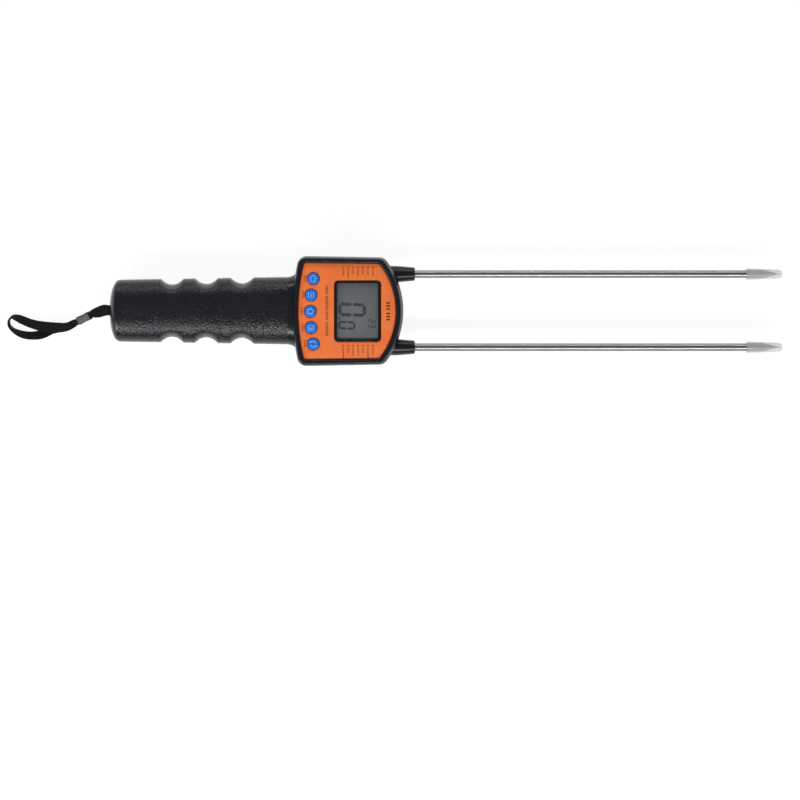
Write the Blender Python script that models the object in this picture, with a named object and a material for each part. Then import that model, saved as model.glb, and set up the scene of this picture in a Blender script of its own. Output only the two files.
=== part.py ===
"""Hand-held two-pin grain moisture meter with key pad, display, rod probes and wrist strap.

Run with: blender --background --python part.py
Units are metres. +X runs along the probes to their tips, +Z leaves the front panel, and the meter lies on
its back on z = 0, with the origin under the middle of its length.
"""

import math

import bmesh
import bpy
from mathutils import Matrix, Vector

# The whole meter
BACK_END = -0.230
TIP_END = 0.230
DEPTH = 0.035
SPLIT_Z = 0.0175
GAP = 0.0003

# Head
HEAD_RIGHT = -0.0293
HEAD_RIGHT_RADIUS = 0.057
HEAD_LEFT = -0.1048
HEAD_LEFT_RADIUS = 0.165
HEAD_HALF_WIDTH_LEFT = 0.0376
HEAD_HALF_WIDTH_RIGHT = 0.0363
HEAD_CORNER = 0.0065
HEAD_BACK_EDGE = 0.0038
HEAD_FRONT_EDGE = 0.0018
WALL_TOP = 0.0312
WALL_DRAFT = 0.0002
RIM_PULL = 0.0006
HEAD_DRAFT = 0.0007
WALL = 0.0026
CAVITY_FLOOR = 0.0026

# Front panel stack, heights above the surface that the meter lies on
DECK_UNDERSIDE = 0.0300
DECK_TOP = 0.0322
OVERLAY_TOP = 0.0332
PANEL_RIGHT = -0.0342
PANEL_RIGHT_RADIUS = 0.0515
PANEL_LEFT = -0.1009
PANEL_LEFT_RADIUS = 0.140
PANEL_HALF_WIDTH_LEFT = 0.0332
PANEL_HALF_WIDTH_RIGHT = 0.0324
PANEL_CORNER = 0.0025

# Display
LCD_CENTRE = (-0.0604, 0.0)
LCD_FRAME_SIZE = (0.0314, 0.0413)
LCD_GLASS_SIZE = (0.0284, 0.0386)
LCD_WINDOW_SIZE = (0.0294, 0.0393)
LCD_FRAME_TOP = 0.0339
LCD_MODULE_SIZE = (0.0334, 0.0432)

# Keys, in an arc beside the display
KEY_CENTRES = {
    "power_key": (-0.0904, 0.0222),
    "menu_key": (-0.0920, 0.0111),
    "home_key": (-0.0924, 0.0),
    "list_key": (-0.0920, -0.0111),
    "cycle_key": (-0.0904, -0.0222),
}
KEY_RADIUS = 0.0041
KEY_HOLE_RADIUS = 0.0044
KEY_TOP = 0.0343
KEY_BASE = 0.0287

# Electronics in the head
BOARD_TOP = 0.0250
BOARD_THICKNESS = 0.0016
BOARD_X = (-0.0985, -0.0460)
BOARD_HALF_WIDTH = 0.0264

# Handle
HANDLE_HALF_WIDTH_END = 0.0211
HANDLE_HALF_WIDTH_NECK = 0.0231
HANDLE_HALF_HEIGHT = 0.0155
HANDLE_MID_Z = 0.0165
HANDLE_SQUARENESS = 2.6
HANDLE_DOME = 0.0075
NECK_START = -0.1085
NECK_END = -0.0985
NECK_FLARE = 0.0070
NOTCH_CENTRES = (-0.1873, -0.1638, -0.1395)
NOTCH_HALF_LENGTH = 0.0079
NOTCH_DEPTH = 0.0039

# Battery bay, open at the back under its cover
BAY_X = (-0.2150, -0.1175)
BAY_INSET = 0.0028
COVER_X = (-0.2142, -0.1183)
COVER_HALF_WIDTH = 0.0120
COVER_TOP = 0.0036
CELL_RADIUS = 0.00525
CELL_LENGTH = 0.0445
CELL_Y = 0.0060
CELL_Z = 0.0095

# Probes
PROBE_Y = 0.025
PROBE_RADIUS = 0.00275
PROBE_BACK = -0.053
PROBE_CONE_START = 0.2160
PROBE_POINT = 0.2274
BORE_RADIUS = PROBE_RADIUS + GAP
COLLAR_END = -0.0214
COLLAR_FLANGE_BACK = -0.0446
CAP_START = 0.2052

# Fasteners
HEAD_SCREWS = ((-0.0920, 0.0309), (-0.0920, -0.0309), (-0.0585, 0.0305), (-0.0585, -0.0305))
HANDLE_SCREWS = ((-0.2190, 0.0130), (-0.2190, -0.0130))
HANDLE_SCREW_LIFT = 0.0028
SCREW_HEAD_RADIUS = 0.0026
SCREW_SHANK_RADIUS = 0.0013
SCREW_SEAT = 0.0034
SCREW_TIP = 0.0235

# Wrist strap, a flat woven band held by a bar in the end of the handle
STRAP_BAR_X = -0.2258
STRAP_BAR_RADIUS = 0.0012
STRAP_THICKNESS = 0.0011
STRAP_WIDTH = 0.0070
STRAP_PINCHED = 0.0042
CLAMP_CENTRE = Vector((-0.2482, -0.0053, 0.0102))
CLAMP_AXIS = Vector((-0.0090, -0.0044, -0.0042)).normalized()
CLAMP_SIZE = (0.0100, 0.0058, 0.0044)
CLAMP_HOLE = (0.0050, 0.0035)
STRAND_LIFT = 0.0008


# ---------------------------------------------------------------- helpers


def clear_scene():
    for obj in list(bpy.data.objects):
        bpy.data.objects.remove(obj, do_unlink=True)


def finish(name, colour, roughness, metallic=0.0, transmission=0.0):
    """A plain Principled material, made once for each name."""
    found = bpy.data.materials.get(name)
    if found:
        return found
    made = bpy.data.materials.new(name)
    made.use_nodes = True
    shader = made.node_tree.nodes["Principled BSDF"]
    shader.inputs["Base Color"].default_value = (*colour, 1.0)
    shader.inputs["Roughness"].default_value = roughness
    shader.inputs["Metallic"].default_value = metallic
    shader.inputs["Transmission Weight"].default_value = transmission
    return made


def black_plastic():
    return finish("black ABS", (0.020, 0.021, 0.024), 0.38)


def stainless():
    return finish("stainless steel", (0.62, 0.61, 0.60), 0.22, metallic=1.0)


def plated_spring_steel():
    return finish("plated spring steel", (0.55, 0.55, 0.53), 0.30, metallic=1.0)


def add_object(name, bm, look, origin=(0.0, 0.0, 0.0), turn=None):
    """Turns a bmesh into an object whose origin is the given point, and shades its round faces smooth."""
    bmesh.ops.recalc_face_normals(bm, faces=bm.faces)
    if turn is None:
        bmesh.ops.translate(bm, verts=bm.verts, vec=-Vector(origin))
    mesh = bpy.data.meshes.new(name)
    bm.to_mesh(mesh)
    bm.free()
    mesh.shade_smooth()
    mesh.set_sharp_from_angle(angle=math.radians(35))
    obj = bpy.data.objects.new(name, mesh)
    obj.location = origin
    if turn is not None:
        obj.rotation_euler = turn.to_euler()
    if look:
        mesh.materials.append(look)
    bpy.context.scene.collection.objects.link(obj)
    return obj


def helper(name, bm):
    """A shape that only cuts or joins others, and isn't part of the meter."""
    obj = add_object(name, bm, None)
    obj.hide_render = True
    obj.display_type = "WIRE"
    return obj


def boolean(obj, operation, other):
    made = obj.modifiers.new(operation.lower(), "BOOLEAN")
    made.operation = operation
    made.solver = "EXACT"
    made.object = other


def add_box(bm, low, high):
    middle = [(a + b) / 2 for a, b in zip(low, high)]
    sizes = [b - a for a, b in zip(low, high)]
    place = Matrix.Translation(middle) @ Matrix.Diagonal((*sizes, 1.0))
    return bmesh.ops.create_cube(bm, size=1.0, matrix=place)["verts"]


def box(low, high):
    bm = bmesh.new()
    add_box(bm, low, high)
    return bm


def add_cylinder(bm, centre, radius, start, end, sides=20, axis="Z"):
    """A closed cylinder along Z or X between two values of that axis, round the other two coordinates."""
    middle = (start + end) / 2
    if axis == "Z":
        place = Matrix.Translation((centre[0], centre[1], middle))
    else:
        place = Matrix.Translation((middle, centre[0], centre[1])) @ Matrix.Rotation(math.pi / 2, 4, "Y")
    bmesh.ops.create_cone(
        bm, cap_ends=True, segments=sides, radius1=radius, radius2=radius, depth=end - start, matrix=place
    )


def plate(outline, low, high):
    """A flat outline, given as (x, y) points, with the thickness between two heights."""
    bm = bmesh.new()
    face = bm.faces.new([bm.verts.new((x, y, low)) for x, y in outline])
    grown = bmesh.ops.extrude_face_region(bm, geom=[face])
    tops = [item for item in grown["geom"] if isinstance(item, bmesh.types.BMVert)]
    bmesh.ops.translate(bm, verts=tops, vec=(0.0, 0.0, high - low))
    return bm


def rounded_rectangle(centre, size, corner, steps=4):
    points = []
    for quarter in range(4):
        sign_x = 1 if quarter in (0, 3) else -1
        sign_y = 1 if quarter in (0, 1) else -1
        corner_x = centre[0] + sign_x * (size[0] / 2 - corner)
        corner_y = centre[1] + sign_y * (size[1] / 2 - corner)
        for step in range(steps + 1):
            angle = math.radians(90 * (quarter + step / steps))
            points.append((corner_x + corner * math.cos(angle), corner_y + corner * math.sin(angle)))
    return points


def loft(bm, rings):
    """Joins closed rings of points, each with as many points as the next, and closes both ends."""
    loops = []
    for ring in rings:
        verts = [bm.verts.new(point) for point in ring]
        loops.append([bm.edges.new((a, b)) for a, b in zip(verts, verts[1:] + verts[:1])])
    for first, second in zip(loops, loops[1:]):
        bmesh.ops.bridge_loops(bm, edges=first + second)
    for end in (loops[0], loops[-1]):
        bmesh.ops.contextual_create(bm, geom=end)


def turned(profile, centre, axis="X", steps=24):
    """Spins (along, radius) points round an axis. A profile that doesn't start on the axis is closed first."""
    bm = bmesh.new()
    if axis == "X":
        verts = [bm.verts.new((along, centre[0], centre[1] + radius)) for along, radius in profile]
        middle = (0.0, centre[0], centre[1])
        direction = (1.0, 0.0, 0.0)
    else:
        verts = [bm.verts.new((centre[0] + radius, centre[1], along)) for along, radius in profile]
        middle = (centre[0], centre[1], 0.0)
        direction = (0.0, 0.0, 1.0)
    edges = [bm.edges.new(pair) for pair in zip(verts, verts[1:])]
    if profile[0][1] > 0:
        edges.append(bm.edges.new((verts[-1], verts[0])))
    bmesh.ops.spin(
        bm,
        geom=verts + edges,
        cent=middle,
        axis=direction,
        angle=2 * math.pi,
        steps=steps,
        use_merge=True,
    )
    bmesh.ops.remove_doubles(bm, verts=bm.verts, dist=0.000001)
    return bm


def smooth_route(points, spans=4):
    """Catmull-Rom curve through points of any number of values, with the given steps between two of them."""
    ends = [points[0]] + list(points) + [points[-1]]
    route = []
    for before, start, end, after in zip(ends, ends[1:], ends[2:], ends[3:]):
        for step in range(spans):
            t = step / spans
            route.append(
                tuple(
                    0.5 * (2 * b + (c - a) * t + (2 * a - 5 * b + 4 * c - d) * t**2 + (3 * b - a - 3 * c + d) * t**3)
                    for a, b, c, d in zip(before, start, end, after)
                )
            )
    route.append(tuple(points[-1]))
    return route


def tube(name, route, diameter, look, resolution=1):
    """A round wire along a list of points, with closed ends."""
    curve = bpy.data.curves.new(name, "CURVE")
    curve.dimensions = "3D"
    curve.bevel_depth = diameter / 2
    curve.bevel_resolution = resolution
    curve.use_fill_caps = True
    curve.resolution_u = 1
    line = curve.splines.new("POLY")
    line.points.add(len(route) - 1)
    for point, place in zip(line.points, route):
        point.co = (*place, 1.0)
    curve.materials.append(look)
    obj = bpy.data.objects.new(name, curve)
    bpy.context.scene.collection.objects.link(obj)
    return obj


# ---------------------------------------------------------------- casing


def arc_and_edge_meeting(centre_x, radius, slope, height, side):
    """x where the line y = slope * x + height meets the circle round (centre_x, 0), on its left or right side."""
    a = 1 + slope**2
    b = slope * height - centre_x
    c = centre_x**2 + height**2 - radius**2
    return (-b + side * math.sqrt(b**2 - a * c)) / a


def head_outline(left, left_radius, right, right_radius, half_left, half_right, corner, inset=0.0):
    """Outline with a convex arc at each end, straight sides and round corners, drawn in by an inset."""
    slope = (half_right - half_left) / (right - left)
    side_normal = Vector((-slope, 1.0)).normalized()
    height = half_left - slope * left - corner * math.sqrt(1 + slope**2)
    right_centre = right - right_radius
    left_centre = left + left_radius
    right_core = right_radius - corner
    left_core = left_radius - corner
    right_x = arc_and_edge_meeting(right_centre, right_core, slope, height, 1)
    left_x = arc_and_edge_meeting(left_centre, left_core, slope, height, -1)
    right_angle = math.acos((right_x - right_centre) / right_core)
    left_angle = math.acos((left_centre - left_x) / left_core)
    grow = corner - inset
    side_angle = math.atan2(side_normal.y, side_normal.x)
    half = []
    for step in range(6):
        angle = right_angle * step / 5
        half.append((right_centre, right_core, angle, angle))
    for step in range(1, 4):
        turn = right_angle + (side_angle - right_angle) * step / 3
        half.append((right_centre, right_core, right_angle, turn))
    left_turn = math.pi - left_angle
    for step in range(4):
        turn = side_angle + (left_turn - side_angle) * step / 3
        half.append((left_centre, left_core, left_turn, turn))
    for step in range(1, 5):
        angle = left_turn + left_angle * step / 4
        half.append((left_centre, left_core, angle, angle))
    points = [
        (
            centre + core * math.cos(place) + grow * math.cos(turn),
            core * math.sin(place) + grow * math.sin(turn),
        )
        for centre, core, place, turn in half
    ]
    mirrored = [(x, -y) for x, y in reversed(points[1:-1])]
    return points + mirrored


def casing_outline(inset, pull=0.0):
    """Outline of the head, drawn in all round by the inset and at its right-hand end by the pull."""
    return head_outline(
        HEAD_LEFT,
        HEAD_LEFT_RADIUS,
        HEAD_RIGHT - pull,
        HEAD_RIGHT_RADIUS,
        HEAD_HALF_WIDTH_LEFT,
        HEAD_HALF_WIDTH_RIGHT,
        HEAD_CORNER,
        inset,
    )


def panel_outline(inset):
    return head_outline(
        PANEL_LEFT,
        PANEL_LEFT_RADIUS,
        PANEL_RIGHT,
        PANEL_RIGHT_RADIUS,
        PANEL_HALF_WIDTH_LEFT,
        PANEL_HALF_WIDTH_RIGHT,
        PANEL_CORNER,
        inset,
    )


def head_blank():
    """The solid head: widest at the split, with a sloping shoulder up to the rim, and rounded at both edges."""
    levels = []
    for step in range(4):
        angle = math.radians(30 * step)
        draw_in = HEAD_DRAFT + HEAD_BACK_EDGE * (1 - math.sin(angle))
        levels.append((HEAD_BACK_EDGE * (1 - math.cos(angle)), draw_in, 0.0))
    levels.append((SPLIT_Z, 0.0, 0.0))
    levels.append((WALL_TOP, WALL_DRAFT, 0.0))
    for step in range(4):
        angle = math.radians(90 - 30 * step)
        draw_in = HEAD_DRAFT + HEAD_FRONT_EDGE * (1 - math.sin(angle))
        levels.append((DEPTH - HEAD_FRONT_EDGE * (1 - math.cos(angle)), draw_in, RIM_PULL))
    bm = bmesh.new()
    loft(bm, [[(x, y, z) for x, y in casing_outline(inset, pull)] for z, inset, pull in levels])
    return bm


def smooth_step(value):
    value = min(max(value, 0.0), 1.0)
    return value * value * (3 - 2 * value)


def notch_depth(x):
    """How far the finger notches cut into each side of the handle at x."""
    depth = 0.0
    for centre in NOTCH_CENTRES:
        reach = abs(x - centre) / NOTCH_HALF_LENGTH
        if reach < 1:
            depth = NOTCH_DEPTH * (1 - reach**2)
    return depth


def handle_ring(x, inset=0.0):
    """Cross-section of the handle at x, a rounded oblong that narrows at the domed end and flares at the neck.
    The inset draws it in, for the battery bay."""
    along = (x - BACK_END) / (NECK_START - BACK_END)
    half_width = HANDLE_HALF_WIDTH_END + (HANDLE_HALF_WIDTH_NECK - HANDLE_HALF_WIDTH_END) * along
    flare = NECK_FLARE * max(0.0, (x - NECK_START) / (NECK_END - NECK_START)) ** 2
    from_end = max(x - BACK_END, 0.00012)
    share = 1.0
    if from_end < HANDLE_DOME:
        share = math.sqrt(1 - (1 - from_end / HANDLE_DOME) ** 2.4)
    half_width = (half_width + flare) * share - inset
    half_height = HANDLE_HALF_HEIGHT * share - inset
    notch = notch_depth(x)
    ring = []
    for step in range(24):
        angle = 2 * math.pi * (step + 0.5) / 24
        across = math.copysign(abs(math.cos(angle)) ** (2 / HANDLE_SQUARENESS), math.cos(angle))
        up = math.copysign(abs(math.sin(angle)) ** (2 / HANDLE_SQUARENESS), math.sin(angle))
        bite = notch * smooth_step((abs(across) - 0.55) / 0.45)
        ring.append((x, across * half_width - math.copysign(bite, across), HANDLE_MID_Z + up * half_height))
    return ring


def notch_stations():
    stations = []
    for centre in NOTCH_CENTRES:
        stations += [centre + NOTCH_HALF_LENGTH * reach for reach in (-1, -0.75, -0.4, 0, 0.4, 0.75, 1)]
    return stations


def handle_blank():
    """The solid handle: domed end, plateaus with three finger notches, and the neck that runs into the head."""
    stations = [BACK_END + step for step in (0.0, 0.0008, 0.0021, 0.0036, 0.0053, 0.0075)]
    stations += notch_stations()
    stations += [NECK_START + (NECK_END - NECK_START) * share for share in (0, 0.35, 0.7, 1)]
    bm = bmesh.new()
    loft(bm, [handle_ring(x) for x in stations])
    return bm


def screw_places():
    """Each screw's (x, y) and how far it sits above the lowest ones, because the handle's back is rounded."""
    low = [(centre, 0.0) for centre in HEAD_SCREWS]
    return low + [(centre, HANDLE_SCREW_LIFT) for centre in HANDLE_SCREWS]


def screw_holes():
    """Clearance for the shanks through both shells."""
    bm = bmesh.new()
    for centre, lift in screw_places():
        add_cylinder(bm, centre, SCREW_SHANK_RADIUS + GAP, SCREW_SEAT + lift, SCREW_TIP + lift + 2 * GAP, 12)
    return bm


def counterbores():
    """A round pocket for each screw's head."""
    bm = bmesh.new()
    for centre, lift in screw_places():
        add_cylinder(bm, centre, SCREW_HEAD_RADIUS + 2 * GAP, -0.002, SCREW_SEAT + lift + GAP, 16)
    return bm


def bosses():
    """Posts for the head's screws, from the floor of the rear shell to the deck of the front shell."""
    bm = bmesh.new()
    for centre in HEAD_SCREWS:
        add_cylinder(bm, centre, 0.0035, 0.0016, DECK_UNDERSIDE + 0.0010, sides=16)
    return bm


def collar_holes():
    bm = bmesh.new()
    for side in (1, -1):
        add_cylinder(bm, (side * PROBE_Y, SPLIT_Z), 0.0059, -0.0430, -0.0200, sides=20, axis="X")
    return bm


def casing():
    """The hollow casing before it is split: head and handle in one, cavities, posts and holes."""
    blank = helper("casing_blank", head_blank())
    floor, ceiling = CAVITY_FLOOR, DECK_UNDERSIDE
    boolean(blank, "UNION", helper("handle_shape", handle_blank()))
    boolean(blank, "DIFFERENCE", helper("head_cavity", plate(casing_outline(WALL), floor, ceiling)))
    tunnel = box((BAY_X[1] - 0.001, -0.0100, 0.0070), (-0.0990, 0.0100, 0.0262))
    boolean(blank, "DIFFERENCE", helper("neck_tunnel", tunnel))
    bay = bmesh.new()
    loft(bay, [handle_ring(x, BAY_INSET) for x in [BAY_X[0], *notch_stations(), BAY_X[1]]])
    boolean(blank, "DIFFERENCE", helper("battery_bay", bay))
    boolean(blank, "UNION", helper("screw_posts", bosses()))
    boolean(blank, "DIFFERENCE", helper("screw_clearance", screw_holes()))
    boolean(blank, "DIFFERENCE", helper("collar_clearance", collar_holes()))
    slot = box((BACK_END - 0.002, -0.0046, 0.0140), (-0.2220, 0.0046, 0.0210))
    boolean(blank, "DIFFERENCE", helper("strap_slot", slot))
    seat = bmesh.new()
    add_cylinder(seat, (0.0, 0.0), STRAP_BAR_RADIUS + GAP, -0.0078, 0.0078, sides=12)
    bmesh.ops.rotate(seat, verts=seat.verts, matrix=Matrix.Rotation(math.pi / 2, 3, "X"))
    bmesh.ops.translate(seat, verts=seat.verts, vec=(STRAP_BAR_X, 0.0, SPLIT_Z))
    boolean(blank, "DIFFERENCE", helper("strap_bar_seat", seat))
    return blank


def front_shell(blank):
    low = (BACK_END - 0.005, -0.045, SPLIT_Z + GAP / 2)
    high = (HEAD_RIGHT + 0.005, 0.045, DEPTH + 0.005)
    shell = add_object("front_shell", box(low, high), black_plastic())
    boolean(shell, "INTERSECT", blank)
    recess = helper("panel_recess", plate(panel_outline(0.0), DECK_TOP, DEPTH + 0.003))
    boolean(shell, "DIFFERENCE", recess)
    holes = bmesh.new()
    for centre in KEY_CENTRES.values():
        add_cylinder(holes, centre, KEY_HOLE_RADIUS, DECK_UNDERSIDE - 0.001, DECK_TOP + 0.001)
    boolean(shell, "DIFFERENCE", helper("key_holes", holes))
    glass = rounded_rectangle(LCD_CENTRE, LCD_GLASS_SIZE, 0.001)
    window = helper("display_opening", plate(glass, DECK_UNDERSIDE - 0.001, DECK_TOP + 0.001))
    boolean(shell, "DIFFERENCE", window)


def rear_shell(blank):
    low = (BACK_END - 0.005, -0.045, -0.005)
    high = (HEAD_RIGHT + 0.005, 0.045, SPLIT_Z - GAP / 2)
    shell = add_object("rear_shell", box(low, high), black_plastic())
    boolean(shell, "INTERSECT", blank)
    opening_low = (COVER_X[0] - GAP, -COVER_HALF_WIDTH - GAP, -0.002)
    opening_high = (COVER_X[1] + GAP, COVER_HALF_WIDTH + GAP, 0.0062)
    boolean(shell, "DIFFERENCE", helper("bay_opening", box(opening_low, opening_high)))
    boolean(shell, "DIFFERENCE", helper("screw_counterbores", counterbores()))


def battery_cover():
    """Curved door flush with the back of the handle. Its origin is its hinge line, at the end near the head."""
    low = (COVER_X[0], -COVER_HALF_WIDTH, -0.002)
    high = (COVER_X[1], COVER_HALF_WIDTH, COVER_TOP)
    hinge = (COVER_X[1], 0.0, HANDLE_MID_Z - HANDLE_HALF_HEIGHT)
    cover = add_object("battery_cover", box(low, high), black_plastic(), origin=hinge)
    boolean(cover, "INTERSECT", bpy.data.objects["handle_shape"])


def rear_screws():
    steel = finish("zinc-plated steel", (0.50, 0.50, 0.49), 0.35, metallic=1.0)
    names = ("head_screw_1", "head_screw_2", "head_screw_3", "head_screw_4", "handle_screw_1", "handle_screw_2")
    profile = [
        (SCREW_SEAT - 0.0022, 0.0),
        (SCREW_SEAT - 0.0022, 0.0010),
        (SCREW_SEAT - 0.0018, SCREW_HEAD_RADIUS),
        (SCREW_SEAT, SCREW_HEAD_RADIUS),
        (SCREW_SEAT, SCREW_SHANK_RADIUS),
        (SCREW_TIP - 0.001, SCREW_SHANK_RADIUS),
        (SCREW_TIP, 0.0),
    ]
    for name, (centre, lift) in zip(names, screw_places()):
        raised = [(along + lift, radius) for along, radius in profile]
        add_object(name, turned(raised, centre, axis="Z", steps=12), steel)


# ---------------------------------------------------------------- front panel


def panel_overlay():
    """The coloured panel sheet that lies in the recess, with holes for the keys and the display frame."""
    look = finish("orange polycarbonate film", (0.86, 0.23, 0.045), 0.45)
    sheet = plate(panel_outline(GAP), DECK_TOP + GAP, OVERLAY_TOP)
    overlay = add_object("panel_overlay", sheet, look)
    holes = bmesh.new()
    for centre in KEY_CENTRES.values():
        add_cylinder(holes, centre, KEY_HOLE_RADIUS, DECK_TOP - 0.001, OVERLAY_TOP + 0.001)
    boolean(overlay, "DIFFERENCE", helper("overlay_key_holes", holes))
    size = [side + 2 * GAP for side in LCD_FRAME_SIZE]
    frame_hole = plate(rounded_rectangle(LCD_CENTRE, size, 0.0026), DECK_TOP - 0.001, OVERLAY_TOP + 0.001)
    boolean(overlay, "DIFFERENCE", helper("overlay_display_hole", frame_hole))


def display():
    """Black frame standing on the deck, clear window held under its lip, and the display module, whose glass
    face stands up into the opening."""
    seat = DECK_TOP + GAP
    frame_look = finish("gloss black ABS", (0.012, 0.012, 0.013), 0.18)
    outline = rounded_rectangle(LCD_CENTRE, LCD_FRAME_SIZE, 0.0023)
    frame = add_object("lcd_frame", plate(outline, seat, LCD_FRAME_TOP), frame_look)
    opening = plate(rounded_rectangle(LCD_CENTRE, LCD_GLASS_SIZE, 0.001), seat - 0.001, LCD_FRAME_TOP + 0.001)
    boolean(frame, "DIFFERENCE", helper("frame_opening", opening))
    rabbet_size = [side + 2 * GAP for side in LCD_WINDOW_SIZE]
    rabbet = plate(rounded_rectangle(LCD_CENTRE, rabbet_size, 0.001), seat - 0.0005, LCD_FRAME_TOP - 0.0005)
    boolean(frame, "DIFFERENCE", helper("window_rabbet", rabbet))
    clear = finish("clear acrylic", (0.80, 0.84, 0.86), 0.05, transmission=0.9)
    window = rounded_rectangle(LCD_CENTRE, LCD_WINDOW_SIZE, 0.0008)
    add_object("lcd_window", plate(window, seat, LCD_FRAME_TOP - 0.0009), clear)
    grey = finish("liquid crystal glass", (0.13, 0.145, 0.15), 0.25)
    module = plate(rounded_rectangle(LCD_CENTRE, LCD_MODULE_SIZE, 0.0006), BOARD_TOP + GAP, DECK_UNDERSIDE - GAP)
    lower = add_object("lcd_module", module, grey)
    face_size = [side - 2 * GAP for side in LCD_GLASS_SIZE]
    face = plate(rounded_rectangle(LCD_CENTRE, face_size, 0.0007), DECK_UNDERSIDE - 0.001, DECK_TOP - 0.0001)
    boolean(lower, "UNION", helper("module_face", face))


def key(name, centre, look):
    """A domed cap whose flange is held under the deck. It slides down on its own axis when pressed."""
    profile = [
        (KEY_BASE, 0.0),
        (KEY_BASE, 0.0053),
        (DECK_UNDERSIDE - GAP, 0.0053),
        (DECK_UNDERSIDE - GAP, KEY_RADIUS),
        (KEY_TOP - 0.0010, KEY_RADIUS),
        (KEY_TOP - 0.0006, KEY_RADIUS - 0.0003),
        (KEY_TOP - 0.0002, KEY_RADIUS - 0.0013),
        (KEY_TOP, 0.0),
    ]
    add_object(name, turned(profile, centre, axis="Z", steps=20), look, origin=(*centre, KEY_BASE))


def keys():
    look = finish("blue key plastic", (0.025, 0.18, 0.62), 0.30)
    for name, centre in KEY_CENTRES.items():
        key(name, centre, look)
    rubber = finish("grey silicone", (0.25, 0.26, 0.27), 0.60)
    mat = box((-0.0982, -0.0262, BOARD_TOP + GAP), (-0.0786, 0.0262, 0.0272))
    membrane = add_object("keypad_membrane", mat, rubber)
    domes = bmesh.new()
    for centre in KEY_CENTRES.values():
        add_cylinder(domes, centre, 0.0032, 0.0268, 0.0278, sides=14)
    boolean(membrane, "UNION", helper("membrane_domes", domes))


def electronics():
    board_look = finish("green circuit board", (0.02, 0.16, 0.06), 0.45)
    low = (BOARD_X[0], -BOARD_HALF_WIDTH, BOARD_TOP - BOARD_THICKNESS)
    high = (BOARD_X[1], BOARD_HALF_WIDTH, BOARD_TOP)
    add_object("main_board", box(low, high), board_look)
    chip_look = finish("black epoxy", (0.02, 0.02, 0.02), 0.55)
    chip_top = BOARD_TOP - BOARD_THICKNESS - GAP
    add_object("controller_chip", box((-0.0740, -0.0065, chip_top - 0.0018), (-0.0610, 0.0065, chip_top)), chip_look)
    film = finish("amber ribbon film", (0.45, 0.22, 0.03), 0.35)
    edge = LCD_CENTRE[0] - LCD_MODULE_SIZE[0] / 2 - GAP
    ribbon = box((edge - 0.0006, -0.0120, BOARD_TOP + GAP), (edge, 0.0120, 0.0285))
    add_object("lcd_ribbon", ribbon, film)


# ---------------------------------------------------------------- probes


def probes():
    collar_look = finish("gloss black nylon", (0.012, 0.012, 0.015), 0.12)
    clear = finish("clear soft vinyl", (0.86, 0.88, 0.90), 0.12, transmission=0.85)
    rod = [
        (PROBE_BACK, 0.0),
        (PROBE_BACK, PROBE_RADIUS),
        (PROBE_CONE_START, PROBE_RADIUS),
        (PROBE_POINT, 0.0),
    ]
    collar = [
        (COLLAR_FLANGE_BACK, BORE_RADIUS),
        (COLLAR_FLANGE_BACK, 0.0065),
        (COLLAR_FLANGE_BACK + 0.0022, 0.0065),
        (COLLAR_FLANGE_BACK + 0.0022, 0.0056),
        (-0.0340, 0.0056),
        (COLLAR_END - 0.0007, 0.0046),
        (COLLAR_END, 0.0041),
        (COLLAR_END, BORE_RADIUS),
    ]
    end_radius = 0.0032
    cap = [(PROBE_POINT + 2 * GAP, 0.0), (PROBE_CONE_START + GAP, BORE_RADIUS), (CAP_START, BORE_RADIUS)]
    cap += [(CAP_START, 0.00405)]
    for step in range(5):
        angle = math.radians(90 - 22.5 * step)
        along = TIP_END - end_radius + end_radius * math.cos(angle)
        cap.append((along, end_radius * math.sin(angle) if step < 4 else 0.0))
    for side, name in ((1, "left"), (-1, "right")):
        centre = (side * PROBE_Y, SPLIT_Z)
        add_object(f"{name}_probe", turned(rod, centre, steps=16), stainless())
        add_object(f"{name}_collar", turned(collar, centre, steps=24), collar_look)
        origin = (CAP_START, *centre)
        add_object(f"{name}_tip_cap", turned(cap, centre, steps=16), clear, origin=origin)
        nut = bmesh.new()
        add_cylinder(nut, centre, 0.0051, COLLAR_FLANGE_BACK - 0.0035, COLLAR_FLANGE_BACK - GAP, sides=6, axis="X")
        made = add_object(f"{name}_probe_nut", nut, plated_spring_steel())
        bore = bmesh.new()
        add_cylinder(bore, centre, BORE_RADIUS, COLLAR_FLANGE_BACK - 0.005, COLLAR_FLANGE_BACK + 0.001, 16, "X")
        boolean(made, "DIFFERENCE", helper(f"{name}_nut_bore", bore))


def probe_leads():
    copper = finish("grey wire insulation", (0.30, 0.30, 0.31), 0.5)
    board_underside = BOARD_TOP - BOARD_THICKNESS - GAP
    for side, name in ((1, "left"), (-1, "right")):
        route = [
            (PROBE_BACK - GAP, side * PROBE_Y, SPLIT_Z),
            (PROBE_BACK - 0.004, side * (PROBE_Y - 0.0006), SPLIT_Z + 0.0002),
            (PROBE_BACK - 0.009, side * (PROBE_Y - 0.0030), SPLIT_Z + 0.0018),
            (PROBE_BACK - 0.0115, side * (PROBE_Y - 0.0050), SPLIT_Z + 0.0036),
            (PROBE_BACK - 0.0120, side * (PROBE_Y - 0.0054), board_underside - 0.0010),
            (PROBE_BACK - 0.0120, side * (PROBE_Y - 0.0054), board_underside),
        ]
        tube(f"{name}_probe_lead", smooth_route(route, 3), 0.0014, copper)


# ---------------------------------------------------------------- battery bay


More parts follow.
